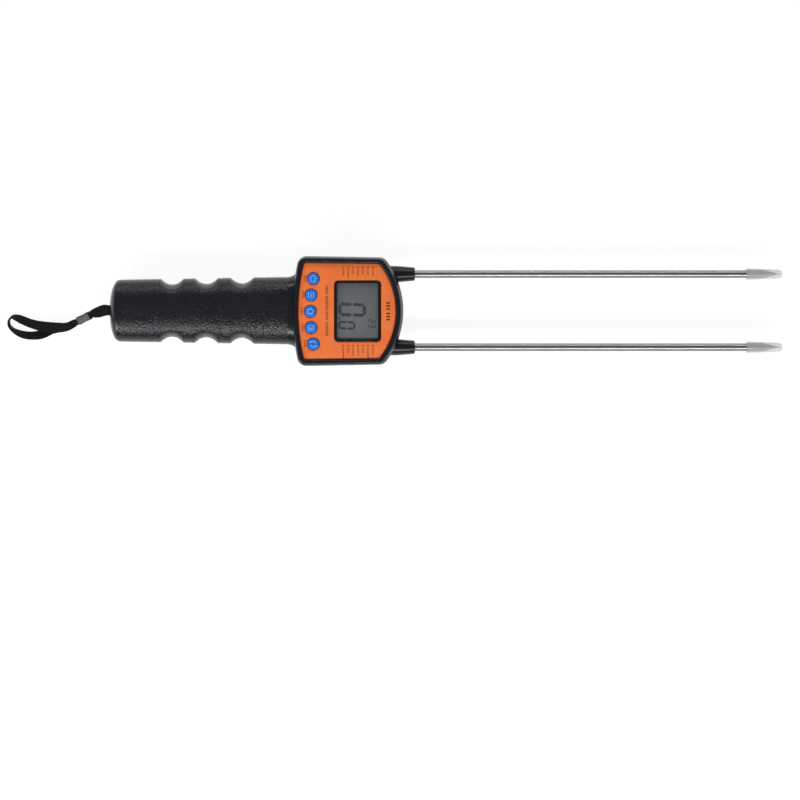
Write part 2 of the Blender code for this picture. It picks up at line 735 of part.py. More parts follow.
def cell(name, start, y):
    """A AAA cell lying along the handle, with its raised contact towards the head on one side only."""
    jacket = finish("battery jacket", (0.55, 0.38, 0.12), 0.35, metallic=0.6)
    toward_head = 1 if y > 0 else -1
    nub = 0.0008
    profile = [
        (0.0, 0.0),
        (0.0, CELL_RADIUS),
        (CELL_LENGTH - nub, CELL_RADIUS),
        (CELL_LENGTH - nub, 0.0019),
        (CELL_LENGTH, 0.0019),
        (CELL_LENGTH, 0.0),
    ]
    if toward_head < 0:
        profile = [(CELL_LENGTH - along, radius) for along, radius in reversed(profile)]
    placed = [(start + along, radius) for along, radius in profile]
    add_object(name, turned(placed, (y, CELL_Z), steps=16), jacket)


def spring(name, start, end, y):
    """A short compression spring between two ends."""
    turns, radius, wire = 3, 0.0030, 0.0007
    route = []
    for step in range(turns * 10 + 1):
        angle = 2 * math.pi * step / 10
        along = start + wire / 2 + (end - start - wire) * step / (turns * 10)
        route.append((along, y + radius * math.cos(angle), CELL_Z + radius * math.sin(angle)))
    tube(name, route, wire, plated_spring_steel(), resolution=0)


def battery_bay():
    """Four cells in two rows of two, joined by a bridge at the far end and by two contacts near the head."""
    far, near, sheet = BAY_X[0] + 0.0010, BAY_X[1] - 0.0012, 0.0005
    spring_length = 0.0040
    low_z, high_z = CELL_Z - 0.0042, CELL_Z + 0.0042
    bridge = box((far - sheet, -0.0110, low_z), (far, 0.0110, high_z))
    add_object("bridge_contact", bridge, plated_spring_steel())
    positive = box((near, CELL_Y - 0.0042, low_z), (near + sheet, CELL_Y + 0.0042, high_z))
    add_object("positive_contact", positive, plated_spring_steel())
    negative = box((near, -CELL_Y - 0.0042, low_z), (near + sheet, -CELL_Y + 0.0042, high_z))
    add_object("negative_contact", negative, plated_spring_steel())
    spring("bridge_spring", far + GAP, far + GAP + spring_length, CELL_Y)
    spring("negative_spring", near - GAP - spring_length, near - GAP, -CELL_Y)
    first_left = near - GAP - CELL_LENGTH
    cell("battery_1", first_left, CELL_Y)
    cell("battery_2", first_left - GAP - CELL_LENGTH, CELL_Y)
    first_right = far + GAP
    cell("battery_3", first_right, -CELL_Y)
    cell("battery_4", first_right + GAP + CELL_LENGTH, -CELL_Y)


def battery_wires():
    """Two wires from the contacts through the neck to the underside of the board."""
    start = BAY_X[1] - 0.0012 + 0.0005 + GAP
    board_underside = BOARD_TOP - BOARD_THICKNESS - GAP
    looks = {
        "red_battery_wire": (1, finish("red wire insulation", (0.55, 0.02, 0.02), 0.5)),
        "black_battery_wire": (-1, finish("black wire insulation", (0.02, 0.02, 0.02), 0.5)),
    }
    for name, (side, look) in looks.items():
        route = [
            (start, side * CELL_Y, CELL_Z + 0.0020),
            (start + 0.0040, side * 0.0056, CELL_Z + 0.0030),
            (start + 0.0110, side * 0.0046, CELL_Z + 0.0070),
            (start + 0.0190, side * 0.0042, CELL_Z + 0.0105),
            (start + 0.0215, side * 0.0040, board_underside - 0.0015),
            (start + 0.0215, side * 0.0040, board_underside),
        ]
        tube(name, smooth_route(route, 3), 0.0014, look)


# ---------------------------------------------------------------- wrist strap


def on_clamp_line(along, lift):
    """A point on the clamp's axis, raised or lowered at right angles to it."""
    side = Vector((0.0, 0.0, 1.0)).cross(CLAMP_AXIS).normalized()
    return CLAMP_CENTRE + CLAMP_AXIS * along + CLAMP_AXIS.cross(side) * lift


def strap_stations():
    """Places along the strap as x, y, z, roll in degrees and width: out to the loop and back into the clamp."""
    return [
        (-0.2275, 0.0000, 0.0175, 0, STRAP_WIDTH),
        (-0.2307, 0.0002, 0.0170, 0, STRAP_WIDTH),
        (-0.2338, 0.0002, 0.0160, 0, 0.0077),
        (-0.2380, -0.0011, 0.0144, 0, 0.0074),
        (*on_clamp_line(-0.0080, STRAND_LIFT), 0, 0.0058),
        (*on_clamp_line(-0.0056, STRAND_LIFT), 0, STRAP_PINCHED),
        (*on_clamp_line(0.0, STRAND_LIFT), 0, STRAP_PINCHED),
        (*on_clamp_line(0.0056, STRAND_LIFT), 0, STRAP_PINCHED),
        (-0.2554, -0.0089, 0.0074, 0, 0.0052),
        (-0.2588, -0.0107, 0.0067, 0, 0.0056),
        (-0.2626, -0.0117, 0.0062, 0, 0.0060),
        (-0.2671, -0.0119, 0.0057, 0, 0.0068),
        (-0.2719, -0.0117, 0.0053, 0, STRAP_WIDTH),
        (-0.2773, -0.0112, 0.0049, 8, STRAP_WIDTH),
        (-0.2822, -0.0102, 0.0044, 26, STRAP_WIDTH),
        (-0.2866, -0.0089, 0.0040, 36, STRAP_WIDTH),
        (-0.2915, -0.0069, 0.0038, 42, STRAP_WIDTH),
        (-0.2952, -0.0053, 0.0038, 54, STRAP_WIDTH),
        (-0.2982, -0.0047, 0.0038, 72, STRAP_WIDTH),
        (-0.3003, -0.0060, 0.0038, 86, STRAP_WIDTH),
        (-0.3009, -0.0087, 0.0038, 92, STRAP_WIDTH),
        (-0.3001, -0.0113, 0.0038, 98, STRAP_WIDTH),
        (-0.2979, -0.0136, 0.0038, 106, STRAP_WIDTH),
        (-0.2939, -0.0159, 0.0036, 122, STRAP_WIDTH),
        (-0.2891, -0.0173, 0.0032, 134, STRAP_WIDTH),
        (-0.2843, -0.0176, 0.0030, 139, STRAP_WIDTH),
        (-0.2800, -0.0171, 0.0025, 151, STRAP_WIDTH),
        (-0.2765, -0.0157, 0.0018, 166, STRAP_WIDTH),
        (-0.2722, -0.0134, 0.0012, 178, STRAP_WIDTH),
        (-0.2673, -0.0122, 0.0012, 180, STRAP_WIDTH),
        (-0.2627, -0.0119, 0.0019, 180, 0.0062),
        (-0.2588, -0.0107, 0.0038, 180, 0.0056),
        (*on_clamp_line(0.0056, -STRAND_LIFT), 180, STRAP_PINCHED),
        (*on_clamp_line(0.0, -STRAND_LIFT), 180, STRAP_PINCHED),
        (*on_clamp_line(-0.0046, -STRAND_LIFT), 180, STRAP_PINCHED),
    ]


def wrist_strap():
    """The woven band: flat where it leaves the handle, on edge round the far end of its loop."""
    route = smooth_route(strap_stations(), 3)
    places = [Vector(station[:3]) for station in route]
    rings = []
    for index, station in enumerate(route):
        place = places[index]
        ahead = places[min(index + 1, len(places) - 1)] - places[max(index - 1, 0)]
        side = Vector((0.0, 0.0, 1.0)).cross(ahead).normalized()
        up = ahead.normalized().cross(side)
        roll = math.radians(station[3])
        across = side * math.cos(roll) + up * math.sin(roll)
        through = up * math.cos(roll) - side * math.sin(roll)
        half_width = station[4] / 2
        half_thickness = STRAP_THICKNESS / 2
        corners = ((1, 1), (-1, 1), (-1, -1), (1, -1))
        rings.append([place + across * half_width * a + through * half_thickness * b for a, b in corners])
    bm = bmesh.new()
    loft(bm, rings)
    add_object("wrist_strap", bm, finish("black woven nylon", (0.008, 0.008, 0.008), 0.75))


def strap_clamp():
    """Folded metal sleeve pressed round both strands of the strap."""
    length, width, height = CLAMP_SIZE
    outline = rounded_rectangle((0.0, 0.0), (width, height), 0.0010, steps=3)
    bm = plate(outline, -length / 2, length / 2)
    hole = rounded_rectangle((0.0, 0.0), CLAMP_HOLE, 0.0004, steps=2)
    core = plate(hole, -length, length)
    side = Vector((0.0, 0.0, 1.0)).cross(CLAMP_AXIS).normalized()
    up = CLAMP_AXIS.cross(side)
    turn = Matrix((side, up, CLAMP_AXIS)).transposed()
    place = Matrix.Translation(CLAMP_CENTRE) @ turn.to_4x4()
    bmesh.ops.transform(core, matrix=place, verts=core.verts)
    look = finish("brushed nickel", (0.45, 0.44, 0.43), 0.35, metallic=1.0)
    clamp = add_object("strap_clamp", bm, look, origin=CLAMP_CENTRE, turn=turn)
    boolean(clamp, "DIFFERENCE", helper("clamp_hole", core))


def strap_bar():
    bm = bmesh.new()
    add_cylinder(bm, (0.0, 0.0), STRAP_BAR_RADIUS, -0.0075, 0.0075, sides=12)
    bmesh.ops.rotate(bm, verts=bm.verts, matrix=Matrix.Rotation(math.pi / 2, 3, "X"))
    bmesh.ops.translate(bm, verts=bm.verts, vec=(STRAP_BAR_X, 0.0, SPLIT_Z))
    add_object("strap_bar", bm, stainless())


clear_scene()
casing_blank = casing()
front_shell(casing_blank)
rear_shell(casing_blank)
battery_cover()
rear_screws()
panel_overlay()
display()
keys()
electronics()
probes()
probe_leads()
battery_bay()
battery_wires()
strap_bar()
wrist_strap()
strap_clamp()
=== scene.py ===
import math

import bmesh
import bpy
from mathutils import Matrix, Vector


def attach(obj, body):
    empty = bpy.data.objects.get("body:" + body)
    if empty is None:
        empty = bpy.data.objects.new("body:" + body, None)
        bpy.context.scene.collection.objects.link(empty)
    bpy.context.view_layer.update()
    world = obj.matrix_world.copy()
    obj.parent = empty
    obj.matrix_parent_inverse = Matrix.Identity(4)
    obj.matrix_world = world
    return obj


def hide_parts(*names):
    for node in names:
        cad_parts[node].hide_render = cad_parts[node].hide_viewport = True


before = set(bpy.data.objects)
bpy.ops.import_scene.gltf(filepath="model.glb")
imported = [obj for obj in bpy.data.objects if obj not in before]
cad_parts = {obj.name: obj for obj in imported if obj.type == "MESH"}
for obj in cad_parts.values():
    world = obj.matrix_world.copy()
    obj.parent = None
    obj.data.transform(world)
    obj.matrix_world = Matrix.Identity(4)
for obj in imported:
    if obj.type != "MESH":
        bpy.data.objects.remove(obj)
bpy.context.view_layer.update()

# ---------------------------------------------------------------- camera
# A long lens looks straight down on the meter as it lies on its back. The meter is in the upper half of
# the view, with the handle to the left.

VIEW_WIDTH = 0.547
CAMERA_ABOVE = 2.0
VIEW_CENTRE = (-0.0316, -0.0611)
CAMERA_Y = 0.056
MIDDLE_HEIGHT = 0.0175

camera_data = bpy.data.cameras.new("camera")
camera_data.sensor_width = 36.0
camera_data.lens = camera_data.sensor_width * CAMERA_ABOVE / VIEW_WIDTH
camera = bpy.data.objects.new("camera", camera_data)
camera.location = (VIEW_CENTRE[0], CAMERA_Y, MIDDLE_HEIGHT + CAMERA_ABOVE)
camera_data.shift_y = (VIEW_CENTRE[1] - CAMERA_Y) / VIEW_WIDTH
bpy.context.scene.collection.objects.link(camera)
bpy.context.scene.camera = camera

# ---------------------------------------------------------------- wrist strap
# Narrow woven nylon band, black. It leaves the slot in the end of the handle, is pressed together in a metal
# sleeve, turns on edge round the far end of its loop and comes back into the sleeve.

STRAP_WIDTH = 0.0070
STRAP_THICKNESS = 0.0011
STRAP_PINCHED = 0.0042
HANDLE_END = -0.230
CLAMP_CENTRE = Vector((-0.2482, -0.0053, 0.0102))
CLAMP_AXIS = Vector((-0.0090, -0.0044, -0.0042)).normalized()
CLAMP_SIDE = Vector((0.0, 0.0, 1.0)).cross(CLAMP_AXIS).normalized()
CLAMP_UP = CLAMP_AXIS.cross(CLAMP_SIDE)
STRAND_LIFT = 0.0008
RIB_SPACING = 0.0010
THREAD_SPACING = 0.0006


def linear(hex_colour):
    """sRGB hex digits to linear red, green, blue and alpha."""
    shares = [int(hex_colour[i : i + 2], 16) / 255 for i in (0, 2, 4)]
    return (*[s / 12.92 if s <= 0.04045 else ((s + 0.055) / 1.055) ** 2.4 for s in shares], 1.0)


def add_node(tree, kind, inputs=None, **settings):
    """Adds a node. Its inputs are given as values or as the output sockets that feed them."""
    made = tree.nodes.new(kind)
    for name, value in settings.items():
        setattr(made, name, value)
    for name, value in (inputs or {}).items():
        if isinstance(value, bpy.types.NodeSocket):
            tree.links.new(value, made.inputs[name])
        else:
            made.inputs[name].default_value = value
    return made


def new_material(name, **constants):
    """A material with one Principled shader, whose sockets take the given constants."""
    material = bpy.data.materials.new(name)
    material.use_nodes = True
    tree = material.node_tree
    shader = tree.nodes["Principled BSDF"]
    for socket, value in constants.items():
        shader.inputs[socket.replace("_", " ")].default_value = value
    return material, tree, shader


def object_place(tree):
    """Places on the object in metres, for patterns that stay with it."""
    return add_node(tree, "ShaderNodeTexCoord").outputs["Object"]


def noise(tree, place, scale, detail=2.0, roughness=0.5):
    """Cloudy marks, from 0 to 1, with scale of them to a metre."""
    sizes = {"Vector": place, "Scale": scale, "Detail": detail, "Roughness": roughness}
    return add_node(tree, "ShaderNodeTexNoise", sizes).outputs["Fac"]


def remapped(tree, value, to, source=(0.0, 1.0)):
    """A value that runs over one range as another value runs over its own."""
    ends = {"From Min": source[0], "From Max": source[1], "To Min": to[0], "To Max": to[1]}
    return add_node(tree, "ShaderNodeMapRange", {"Value": value, **ends}).outputs["Result"]


def mixed(tree, share, first, second):
    """A colour between two, each given as hex digits or as the socket it comes from."""
    ends = [linear(end) if isinstance(end, str) else end for end in (first, second)]
    colours = {"Factor": share, "A": ends[0], "B": ends[1]}
    return add_node(tree, "ShaderNodeMix", colours, data_type="RGBA").outputs["Result"]


def computed(tree, operation, *values):
    """The result of one sum on numbers and sockets."""
    return add_node(tree, "ShaderNodeMath", dict(enumerate(values)), operation=operation).outputs[0]


def raised(tree, height, distance, strength, under=None):
    """The surface direction over a fine relief, on top of another relief where one is given."""
    relief = {"Height": height, "Distance": distance, "Strength": strength}
    if under is not None:
        relief["Normal"] = under
    return add_node(tree, "ShaderNodeBump", relief).outputs["Normal"]


def add_piece(name, bm, material, body, stands_for=(), sharp=35):
    """Makes a finished piece from a bmesh that is already in place, and ties it to the frame."""
    bmesh.ops.recalc_face_normals(bm, faces=bm.faces)
    mesh = bpy.data.meshes.new(name)
    bm.to_mesh(mesh)
    bm.free()
    mesh.shade_smooth()
    mesh.set_sharp_from_angle(angle=math.radians(sharp))
    mesh.materials.append(material)
    piece = bpy.data.objects.new(name, mesh)
    bpy.context.scene.collection.objects.link(piece)
    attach(piece, body)
    if stands_for:
        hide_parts(*stands_for)
    return piece


def smooth_route(points, spans):
    """Catmull-Rom curve through points of any number of values, with the given steps between two of them."""
    ends = [points[0]] + list(points) + [points[-1]]
    route = []
    for before, start, end, after in zip(ends, ends[1:], ends[2:], ends[3:]):
        for step in range(spans):
            t = step / spans
            route.append(
                tuple(
                    0.5
                    * (
                        2 * b
                        + (c - a) * t
                        + (2 * a - 5 * b + 4 * c - d) * t**2
                        + (3 * b - a - 3 * c + d) * t**3
                    )
                    for a, b, c, d in zip(before, start, end, after)
                )
            )
    route.append(tuple(points[-1]))
    return route


def add_loft(bm, rings, closed_ends=True):
    """Bridges closed rings of points, each with as many points as the next, and caps both ends."""
    loops = []
    for ring in rings:
        verts = [bm.verts.new(point) for point in ring]
        loops.append([bm.edges.new(pair) for pair in zip(verts, verts[1:] + verts[:1])])
    for first, second in zip(loops, loops[1:]):
        bmesh.ops.bridge_loops(bm, edges=first + second)
    if closed_ends:
        for end in (loops[0], loops[-1]):
            bmesh.ops.contextual_create(bm, geom=end)
    return loops


def on_clamp_line(along, lift):
    """A point on the sleeve's axis, raised or lowered at right angles to it."""
    return CLAMP_CENTRE + CLAMP_AXIS * along + CLAMP_UP * lift


strap_route = [
    (-0.2275, 0.0000, 0.0175, 0, STRAP_WIDTH),
    (-0.2307, 0.0002, 0.0170, 0, STRAP_WIDTH),
    (-0.2338, 0.0002, 0.0160, 0, 0.0077),
    (-0.2380, -0.0011, 0.0144, 0, 0.0074),
    (*on_clamp_line(-0.0080, STRAND_LIFT), 0, 0.0058),
    (*on_clamp_line(-0.0056, STRAND_LIFT), 0, STRAP_PINCHED),
    (*on_clamp_line(0.0, STRAND_LIFT), 0, STRAP_PINCHED),
    (*on_clamp_line(0.0056, STRAND_LIFT), 0, STRAP_PINCHED),
    (-0.2554, -0.0089, 0.0074, 0, 0.0052),
    (-0.2588, -0.0107, 0.0067, 0, 0.0056),
    (-0.2626, -0.0117, 0.0062, 0, 0.0060),
    (-0.2671, -0.0119, 0.0057, 0, 0.0068),
    (-0.2719, -0.0117, 0.0053, 0, STRAP_WIDTH),
    (-0.2773, -0.0112, 0.0049, 8, STRAP_WIDTH),
    (-0.2822, -0.0102, 0.0044, 26, STRAP_WIDTH),
    (-0.2866, -0.0089, 0.0040, 36, STRAP_WIDTH),
    (-0.2915, -0.0069, 0.0038, 42, STRAP_WIDTH),
    (-0.2952, -0.0053, 0.0038, 54, STRAP_WIDTH),
    (-0.2982, -0.0047, 0.0038, 72, STRAP_WIDTH),
    (-0.3003, -0.0060, 0.0038, 86, STRAP_WIDTH),
    (-0.3009, -0.0087, 0.0038, 92, STRAP_WIDTH),
    (-0.3001, -0.0113, 0.0038, 98, STRAP_WIDTH),
    (-0.2979, -0.0136, 0.0038, 106, STRAP_WIDTH),
    (-0.2939, -0.0159, 0.0036, 122, STRAP_WIDTH),
    (-0.2891, -0.0173, 0.0032, 134, STRAP_WIDTH),
    (-0.2843, -0.0176, 0.0030, 139, STRAP_WIDTH),
    (-0.2800, -0.0171, 0.0025, 151, STRAP_WIDTH),
    (-0.2765, -0.0157, 0.0018, 166, STRAP_WIDTH),
    (-0.2722, -0.0134, 0.0012, 178, STRAP_WIDTH),
    (-0.2673, -0.0122, 0.0012, 180, STRAP_WIDTH),
    (-0.2627, -0.0119, 0.0019, 180, 0.0062),
    (-0.2588, -0.0107, 0.0038, 180, 0.0056),
    (*on_clamp_line(0.0056, -STRAND_LIFT), 180, STRAP_PINCHED),
    (*on_clamp_line(0.0, -STRAND_LIFT), 180, STRAP_PINCHED),
    (*on_clamp_line(-0.0046, -STRAND_LIFT), 180, STRAP_PINCHED),
]

strap_line = smooth_route(strap_route, 8)
strap_places = [Vector(station[:3]) for station in strap_line]
strap_rings = []
EDGE_POINTS = 4
TOP_POINTS = 12
for index, station in enumerate(strap_line):
    ahead = strap_places[min(index + 1, len(strap_line) - 1)] - strap_places[max(index - 1, 0)]
    side = Vector((0.0, 0.0, 1.0)).cross(ahead).normalized()
    up = ahead.normalized().cross(side)
    roll = math.radians(station[3])
    across = side * math.cos(roll) + up * math.sin(roll)
    through = up * math.cos(roll) - side * math.sin(roll)
    half_width = station[4] / 2 - STRAP_THICKNESS / 2
    ring = []
    for end in (1, -1):
        for step in range(EDGE_POINTS + 1):
            angle = math.radians(180 * step / EDGE_POINTS - 90 * end)
            offset = across * (end * half_width + STRAP_THICKNESS / 2 * math.cos(angle))
            ring.append(strap_places[index] + offset + through * (STRAP_THICKNESS / 2 * math.sin(angle)))
        for step in range(1, TOP_POINTS):
            share = 1 - 2 * step / TOP_POINTS
            offset = across * (end * half_width * share)
            ring.append(strap_places[index] + offset + through * (end * STRAP_THICKNESS / 2))
    strap_rings.append(ring)

# Woven nylon tape: ribs run along the band, and the weft shows as fine steps across them.
strap_black, tree, shader = new_material("woven_nylon_tape_black", Roughness=0.8, Specular_IOR_Level=0.25)
shader.inputs["Sheen Weight"].default_value = 0.03
shader.inputs["Sheen Roughness"].default_value = 0.4
weave_uv = add_node(tree, "ShaderNodeUVMap", uv_map="along")
weave_axes = add_node(tree, "ShaderNodeSeparateXYZ", {"Vector": weave_uv.outputs["UV"]})
rib = computed(tree, "MULTIPLY", weave_axes.outputs["X"], 2 * math.pi / RIB_SPACING)
rib_wave = computed(tree, "SINE", rib)
weft = computed(tree, "MULTIPLY", weave_axes.outputs["Y"], 2 * math.pi / THREAD_SPACING)
weft_wave = computed(tree, "SINE", weft)
woven = computed(tree, "MULTIPLY_ADD", weft_wave, 0.45, rib_wave)
weave_tone = remapped(tree, woven, (0.0, 1.0), (-1.2, 1.3))
weave_colour = mixed(tree, weave_tone, "030303", "0E0E10")
tree.links.new(weave_colour, shader.inputs["Base Color"])
weave_bump = raised(tree, woven, 0.00012, 0.8)
tree.links.new(weave_bump, shader.inputs["Normal"])

strap_mesh = bmesh.new()
add_loft(strap_mesh, strap_rings)
wrist_strap = add_piece(
    "woven_strap", strap_mesh, strap_black, "meter", ["wrist_strap"], sharp=60
)

run = [0.0]
for first, second in zip(strap_places, strap_places[1:]):
    run.append(run[-1] + (second - first).length)
uv_layer = wrist_strap.data.uv_layers.new(name="along")
ring_size = len(strap_rings[0])
for face in wrist_strap.data.polygons:
    for corner in face.loop_indices:
        vertex = wrist_strap.data.loops[corner].vertex_index
        station, step = divmod(vertex, ring_size)
        turn_round = abs(step - EDGE_POINTS / 2 - ring_size / 2) / (ring_size / 2)
        uv_layer.data[corner].uv = (turn_round * STRAP_WIDTH, run[station])

# ---------------------------------------------------------------- casing
# Two injection-moulded ABS shells, screwed together from the back: a deep head with a raised rim round the
# panel, and a hollow handle with three finger notches on each side. The handle has a fine leather grain and
# narrow grooves across it, and the head and neck are satin.

SPLIT_HEIGHT = 0.0175
GAP = 0.0003
DEPTH = 0.035
DECK_UNDERSIDE = 0.0300
DECK_TOP = 0.0322
WALL = 0.0026
BACK_EDGE = 0.0038
RIM_EDGE = (0.0016, 0.0022)
RIM_LIP = 0.0008
# The inner edge of the rim starts this much lower than its outer edge, so that the two top rings differ in
# height and the faces between them close up properly.
RIM_CROWN = 0.00006
HEAD_DRAFT = 0.0007
WALL_TOP = (0.0312, 0.0002)
RIM_PULL = 0.0006
HEAD = {
    "left": -0.1048,
    "left_radius": 0.165,
    "right": -0.0293,
    "right_radius": 0.057,
    "half_left": 0.0376,
    "half_right": 0.0363,
    "corner": 0.0065,
}
PANEL = {
    "left": -0.1009,
    "left_radius": 0.140,
    "right": -0.0342,
    "right_radius": 0.0515,
    "half_left": 0.0332,
    "half_right": 0.0324,
    "corner": 0.0025,
}
ARC_STEPS = 18
CORNER_STEPS = 7

HANDLE_HALF_END = 0.0211
HANDLE_HALF_NECK = 0.0231
HANDLE_HALF_HEIGHT = 0.0155
HANDLE_MIDDLE = 0.0165
HANDLE_SQUARENESS = 2.6
HANDLE_DOME = 0.0075
NECK_START = -0.1085
NECK_END = -0.0985
NECK_FLARE = 0.0070
NOTCH_CENTRES = (-0.1873, -0.1638, -0.1395)
NOTCH_HALF_LENGTH = 0.0079
NOTCH_DEPTH = 0.0039
GROOVES = (-0.1985, -0.1838, -0.1687, -0.1537, -0.1387, -0.1242)
GROOVE_DEPTH = 0.00032
GROOVE_HALF_WIDTH = 0.0005
HANDLE_POINTS = 72
BAY_X = (-0.2150, -0.1175)
BAY_INSET = 0.0028
COVER_X = (-0.2142, -0.1183)
COVER_HALF_WIDTH = 0.0120
COVER_TOP = 0.0036

PROBE_Y = 0.025
COLLAR_HOLE = 0.0059
STRAP_BAR_X = -0.2258
KEYS = {
    "power_key": (-0.0904, 0.0222),
    "menu_key": (-0.0920, 0.0111),
    "home_key": (-0.0924, 0.0),
    "list_key": (-0.0920, -0.0111),
    "cycle_key": (-0.0904, -0.0222),
}
KEY_HOLE = 0.0044
DISPLAY = (-0.0604, 0.0)
GLASS_SIZE = (0.0284, 0.0386)
HEAD_SCREWS = ((-0.0920, 0.0309), (-0.0920, -0.0309), (-0.0585, 0.0305), (-0.0585, -0.0305))
HANDLE_SCREWS = ((-0.2190, 0.0130), (-0.2190, -0.0130))
HANDLE_SCREW_LIFT = 0.0028
SCREW_SEAT = 0.0034
SCREW_TIP = 0.0235
SCREWS = [(place, 0.0) for place in HEAD_SCREWS] + [(place, HANDLE_SCREW_LIFT) for place in HANDLE_SCREWS]


def arched_outline(shape, inset=0.0, pull=0.0):
    """Outline with a convex arc at each end, straight sides and round corners, drawn in by an inset all
    round and by a pull at its right-hand end."""
    right, left, corner = shape["right"] - pull, shape["left"], shape["corner"]
    slope = (shape["half_right"] - shape["half_left"]) / (right - left)
    height = shape["half_left"] - slope * left - corner * math.sqrt(1 + slope**2)
    ends = []
    for radius, side in ((shape["right_radius"], 1), (shape["left_radius"], -1)):
        centre = (right if side == 1 else left) - side * radius
        b = slope * height - centre
        c = centre**2 + height**2 - (radius - corner) ** 2
        x = (-b + side * math.sqrt(b**2 - (1 + slope**2) * c)) / (1 + slope**2)
        ends.append((centre, radius - corner, math.acos((x - centre) / (radius - corner))))
    (right_centre, right_core, right_turn), (left_centre, left_core, left_turn) = ends
    side_turn = math.atan2(1.0, -slope)
    places = [(right_centre, right_core, right_turn * s / ARC_STEPS, None) for s in range(ARC_STEPS + 1)]
    for s in range(1, CORNER_STEPS + 1):
        turn = right_turn + (side_turn - right_turn) * s / CORNER_STEPS
        places.append((right_centre, right_core, right_turn, turn))
    for s in range(CORNER_STEPS + 1):
        turn = side_turn + (left_turn - side_turn) * s / CORNER_STEPS
        places.append((left_centre, left_core, left_turn, turn))
    for s in range(1, ARC_STEPS + 1):
        places.append((left_centre, left_core, left_turn + (math.pi - left_turn) * s / ARC_STEPS, None))
    grow = corner - inset
    points = []
    for centre, core, angle, turn in places:
        turn = angle if turn is None else turn
        x = centre + core * math.cos(angle) + grow * math.cos(turn)
        points.append((x, core * math.sin(angle) + grow * math.sin(turn)))
    return points + [(x, -y) for x, y in reversed(points[1:-1])]


def at_height(outline, z):
    return [(x, y, z) for x, y in outline]


def add_prism(bm, outline, low, high):
    add_loft(bm, [at_height(outline, low), at_height(outline, high)])


def rounded_box_outline(centre, size, corner, steps=5):
    points = []
    for quarter, (sign_x, sign_y) in enumerate(((1, 1), (-1, 1), (-1, -1), (1, -1))):
        for step in range(steps + 1):
            angle = math.radians(90 * (quarter + step / steps))
            x = centre[0] + sign_x * (size[0] / 2 - corner) + corner * math.cos(angle)
            points.append((x, centre[1] + sign_y * (size[1] / 2 - corner) + corner * math.sin(angle)))
    return points


def add_box(bm, low, high):
    middle = [(a + b) / 2 for a, b in zip(low, high)]
    sizes = [b - a for a, b in zip(low, high)]
    bmesh.ops.create_cube(bm, size=1.0, matrix=Matrix.Translation(middle) @ Matrix.Diagonal((*sizes, 1.0)))


def add_rod(bm, centre, radius, start, end, sides=32, axis="Z"):
    """A closed cylinder along one axis, round the other two coordinates."""
    middle = (start + end) / 2
    if axis == "Z":
        place = Matrix.Translation((*centre, middle))
    elif axis == "X":
        place = Matrix.Translation((middle, *centre)) @ Matrix.Rotation(math.pi / 2, 4, "Y")
    else:
        place = Matrix.Translation((centre[0], middle, centre[1])) @ Matrix.Rotation(math.pi / 2, 4, "X")
    bmesh.ops.create_cone(
        bm, cap_ends=True, segments=sides, radius1=radius, radius2=radius, depth=end - start, matrix=place
    )


def loose_object(bm):
    """A shape used only to cut or join others."""
    bmesh.ops.recalc_face_normals(bm, faces=bm.faces)
    mesh = bpy.data.meshes.new("shape")
    bm.to_mesh(mesh)
    bm.free()
    made = bpy.data.objects.new("shape", mesh)
    bpy.context.scene.collection.objects.link(made)
    return made


def shaped(bm, steps):
    """Joins or cuts a bmesh with others, in order, and gives the result as a new bmesh."""
    target = loose_object(bm)
    others = []
    for operation, other in steps:
        others.append(loose_object(other))
        change = target.modifiers.new(operation, "BOOLEAN")
        change.operation = operation
        change.solver = "EXACT"
        change.object = others[-1]
    bpy.context.view_layer.update()
    result = bmesh.new()
    result.from_object(target, bpy.context.evaluated_depsgraph_get())
    for used in [target] + others:
        mesh = used.data
        bpy.data.objects.remove(used)
        bpy.data.meshes.remove(mesh)
    return result


def gentle_step(value):
    value = min(max(value, 0.0), 1.0)
    return value * value * (3 - 2 * value)


def handle_ring(x, inset=0.0, grooved=True):
    """Cross-section of the handle: a rounded oblong, narrower at the domed end and flared at the neck."""
    along = (x - HANDLE_END) / (NECK_START - HANDLE_END)
    half_width = HANDLE_HALF_END + (HANDLE_HALF_NECK - HANDLE_HALF_END) * along
    half_width += NECK_FLARE * max(0.0, (x - NECK_START) / (NECK_END - NECK_START)) ** 2
    from_end = max(x - HANDLE_END, 0.00012)
    share = 1.0
    if from_end < HANDLE_DOME:
        share = math.sqrt(1 - (1 - from_end / HANDLE_DOME) ** 2.4)
    groove = 0.0
    notch = 0.0
    if grooved:
        nearest = min(abs(x - place) for place in GROOVES)
        groove = GROOVE_DEPTH * gentle_step(1 - nearest / GROOVE_HALF_WIDTH)
    for centre in NOTCH_CENTRES:
        reach = abs(x - centre) / NOTCH_HALF_LENGTH
        if reach < 1:
            notch = NOTCH_DEPTH * (1 - reach**2)
    half_width = half_width * share - inset - groove
    half_height = HANDLE_HALF_HEIGHT * share - inset - groove
    ring = []
    for step in range(HANDLE_POINTS):
        angle = 2 * math.pi * (step + 0.5) / HANDLE_POINTS
        across = math.copysign(abs(math.cos(angle)) ** (2 / HANDLE_SQUARENESS), math.cos(angle))
        up = math.copysign(abs(math.sin(angle)) ** (2 / HANDLE_SQUARENESS), math.sin(angle))
        bite = notch * gentle_step((abs(across) - 0.55) / 0.45)
        y = across * half_width - math.copysign(bite, across)
        ring.append((x, y, HANDLE_MIDDLE + up * half_height))
    return ring


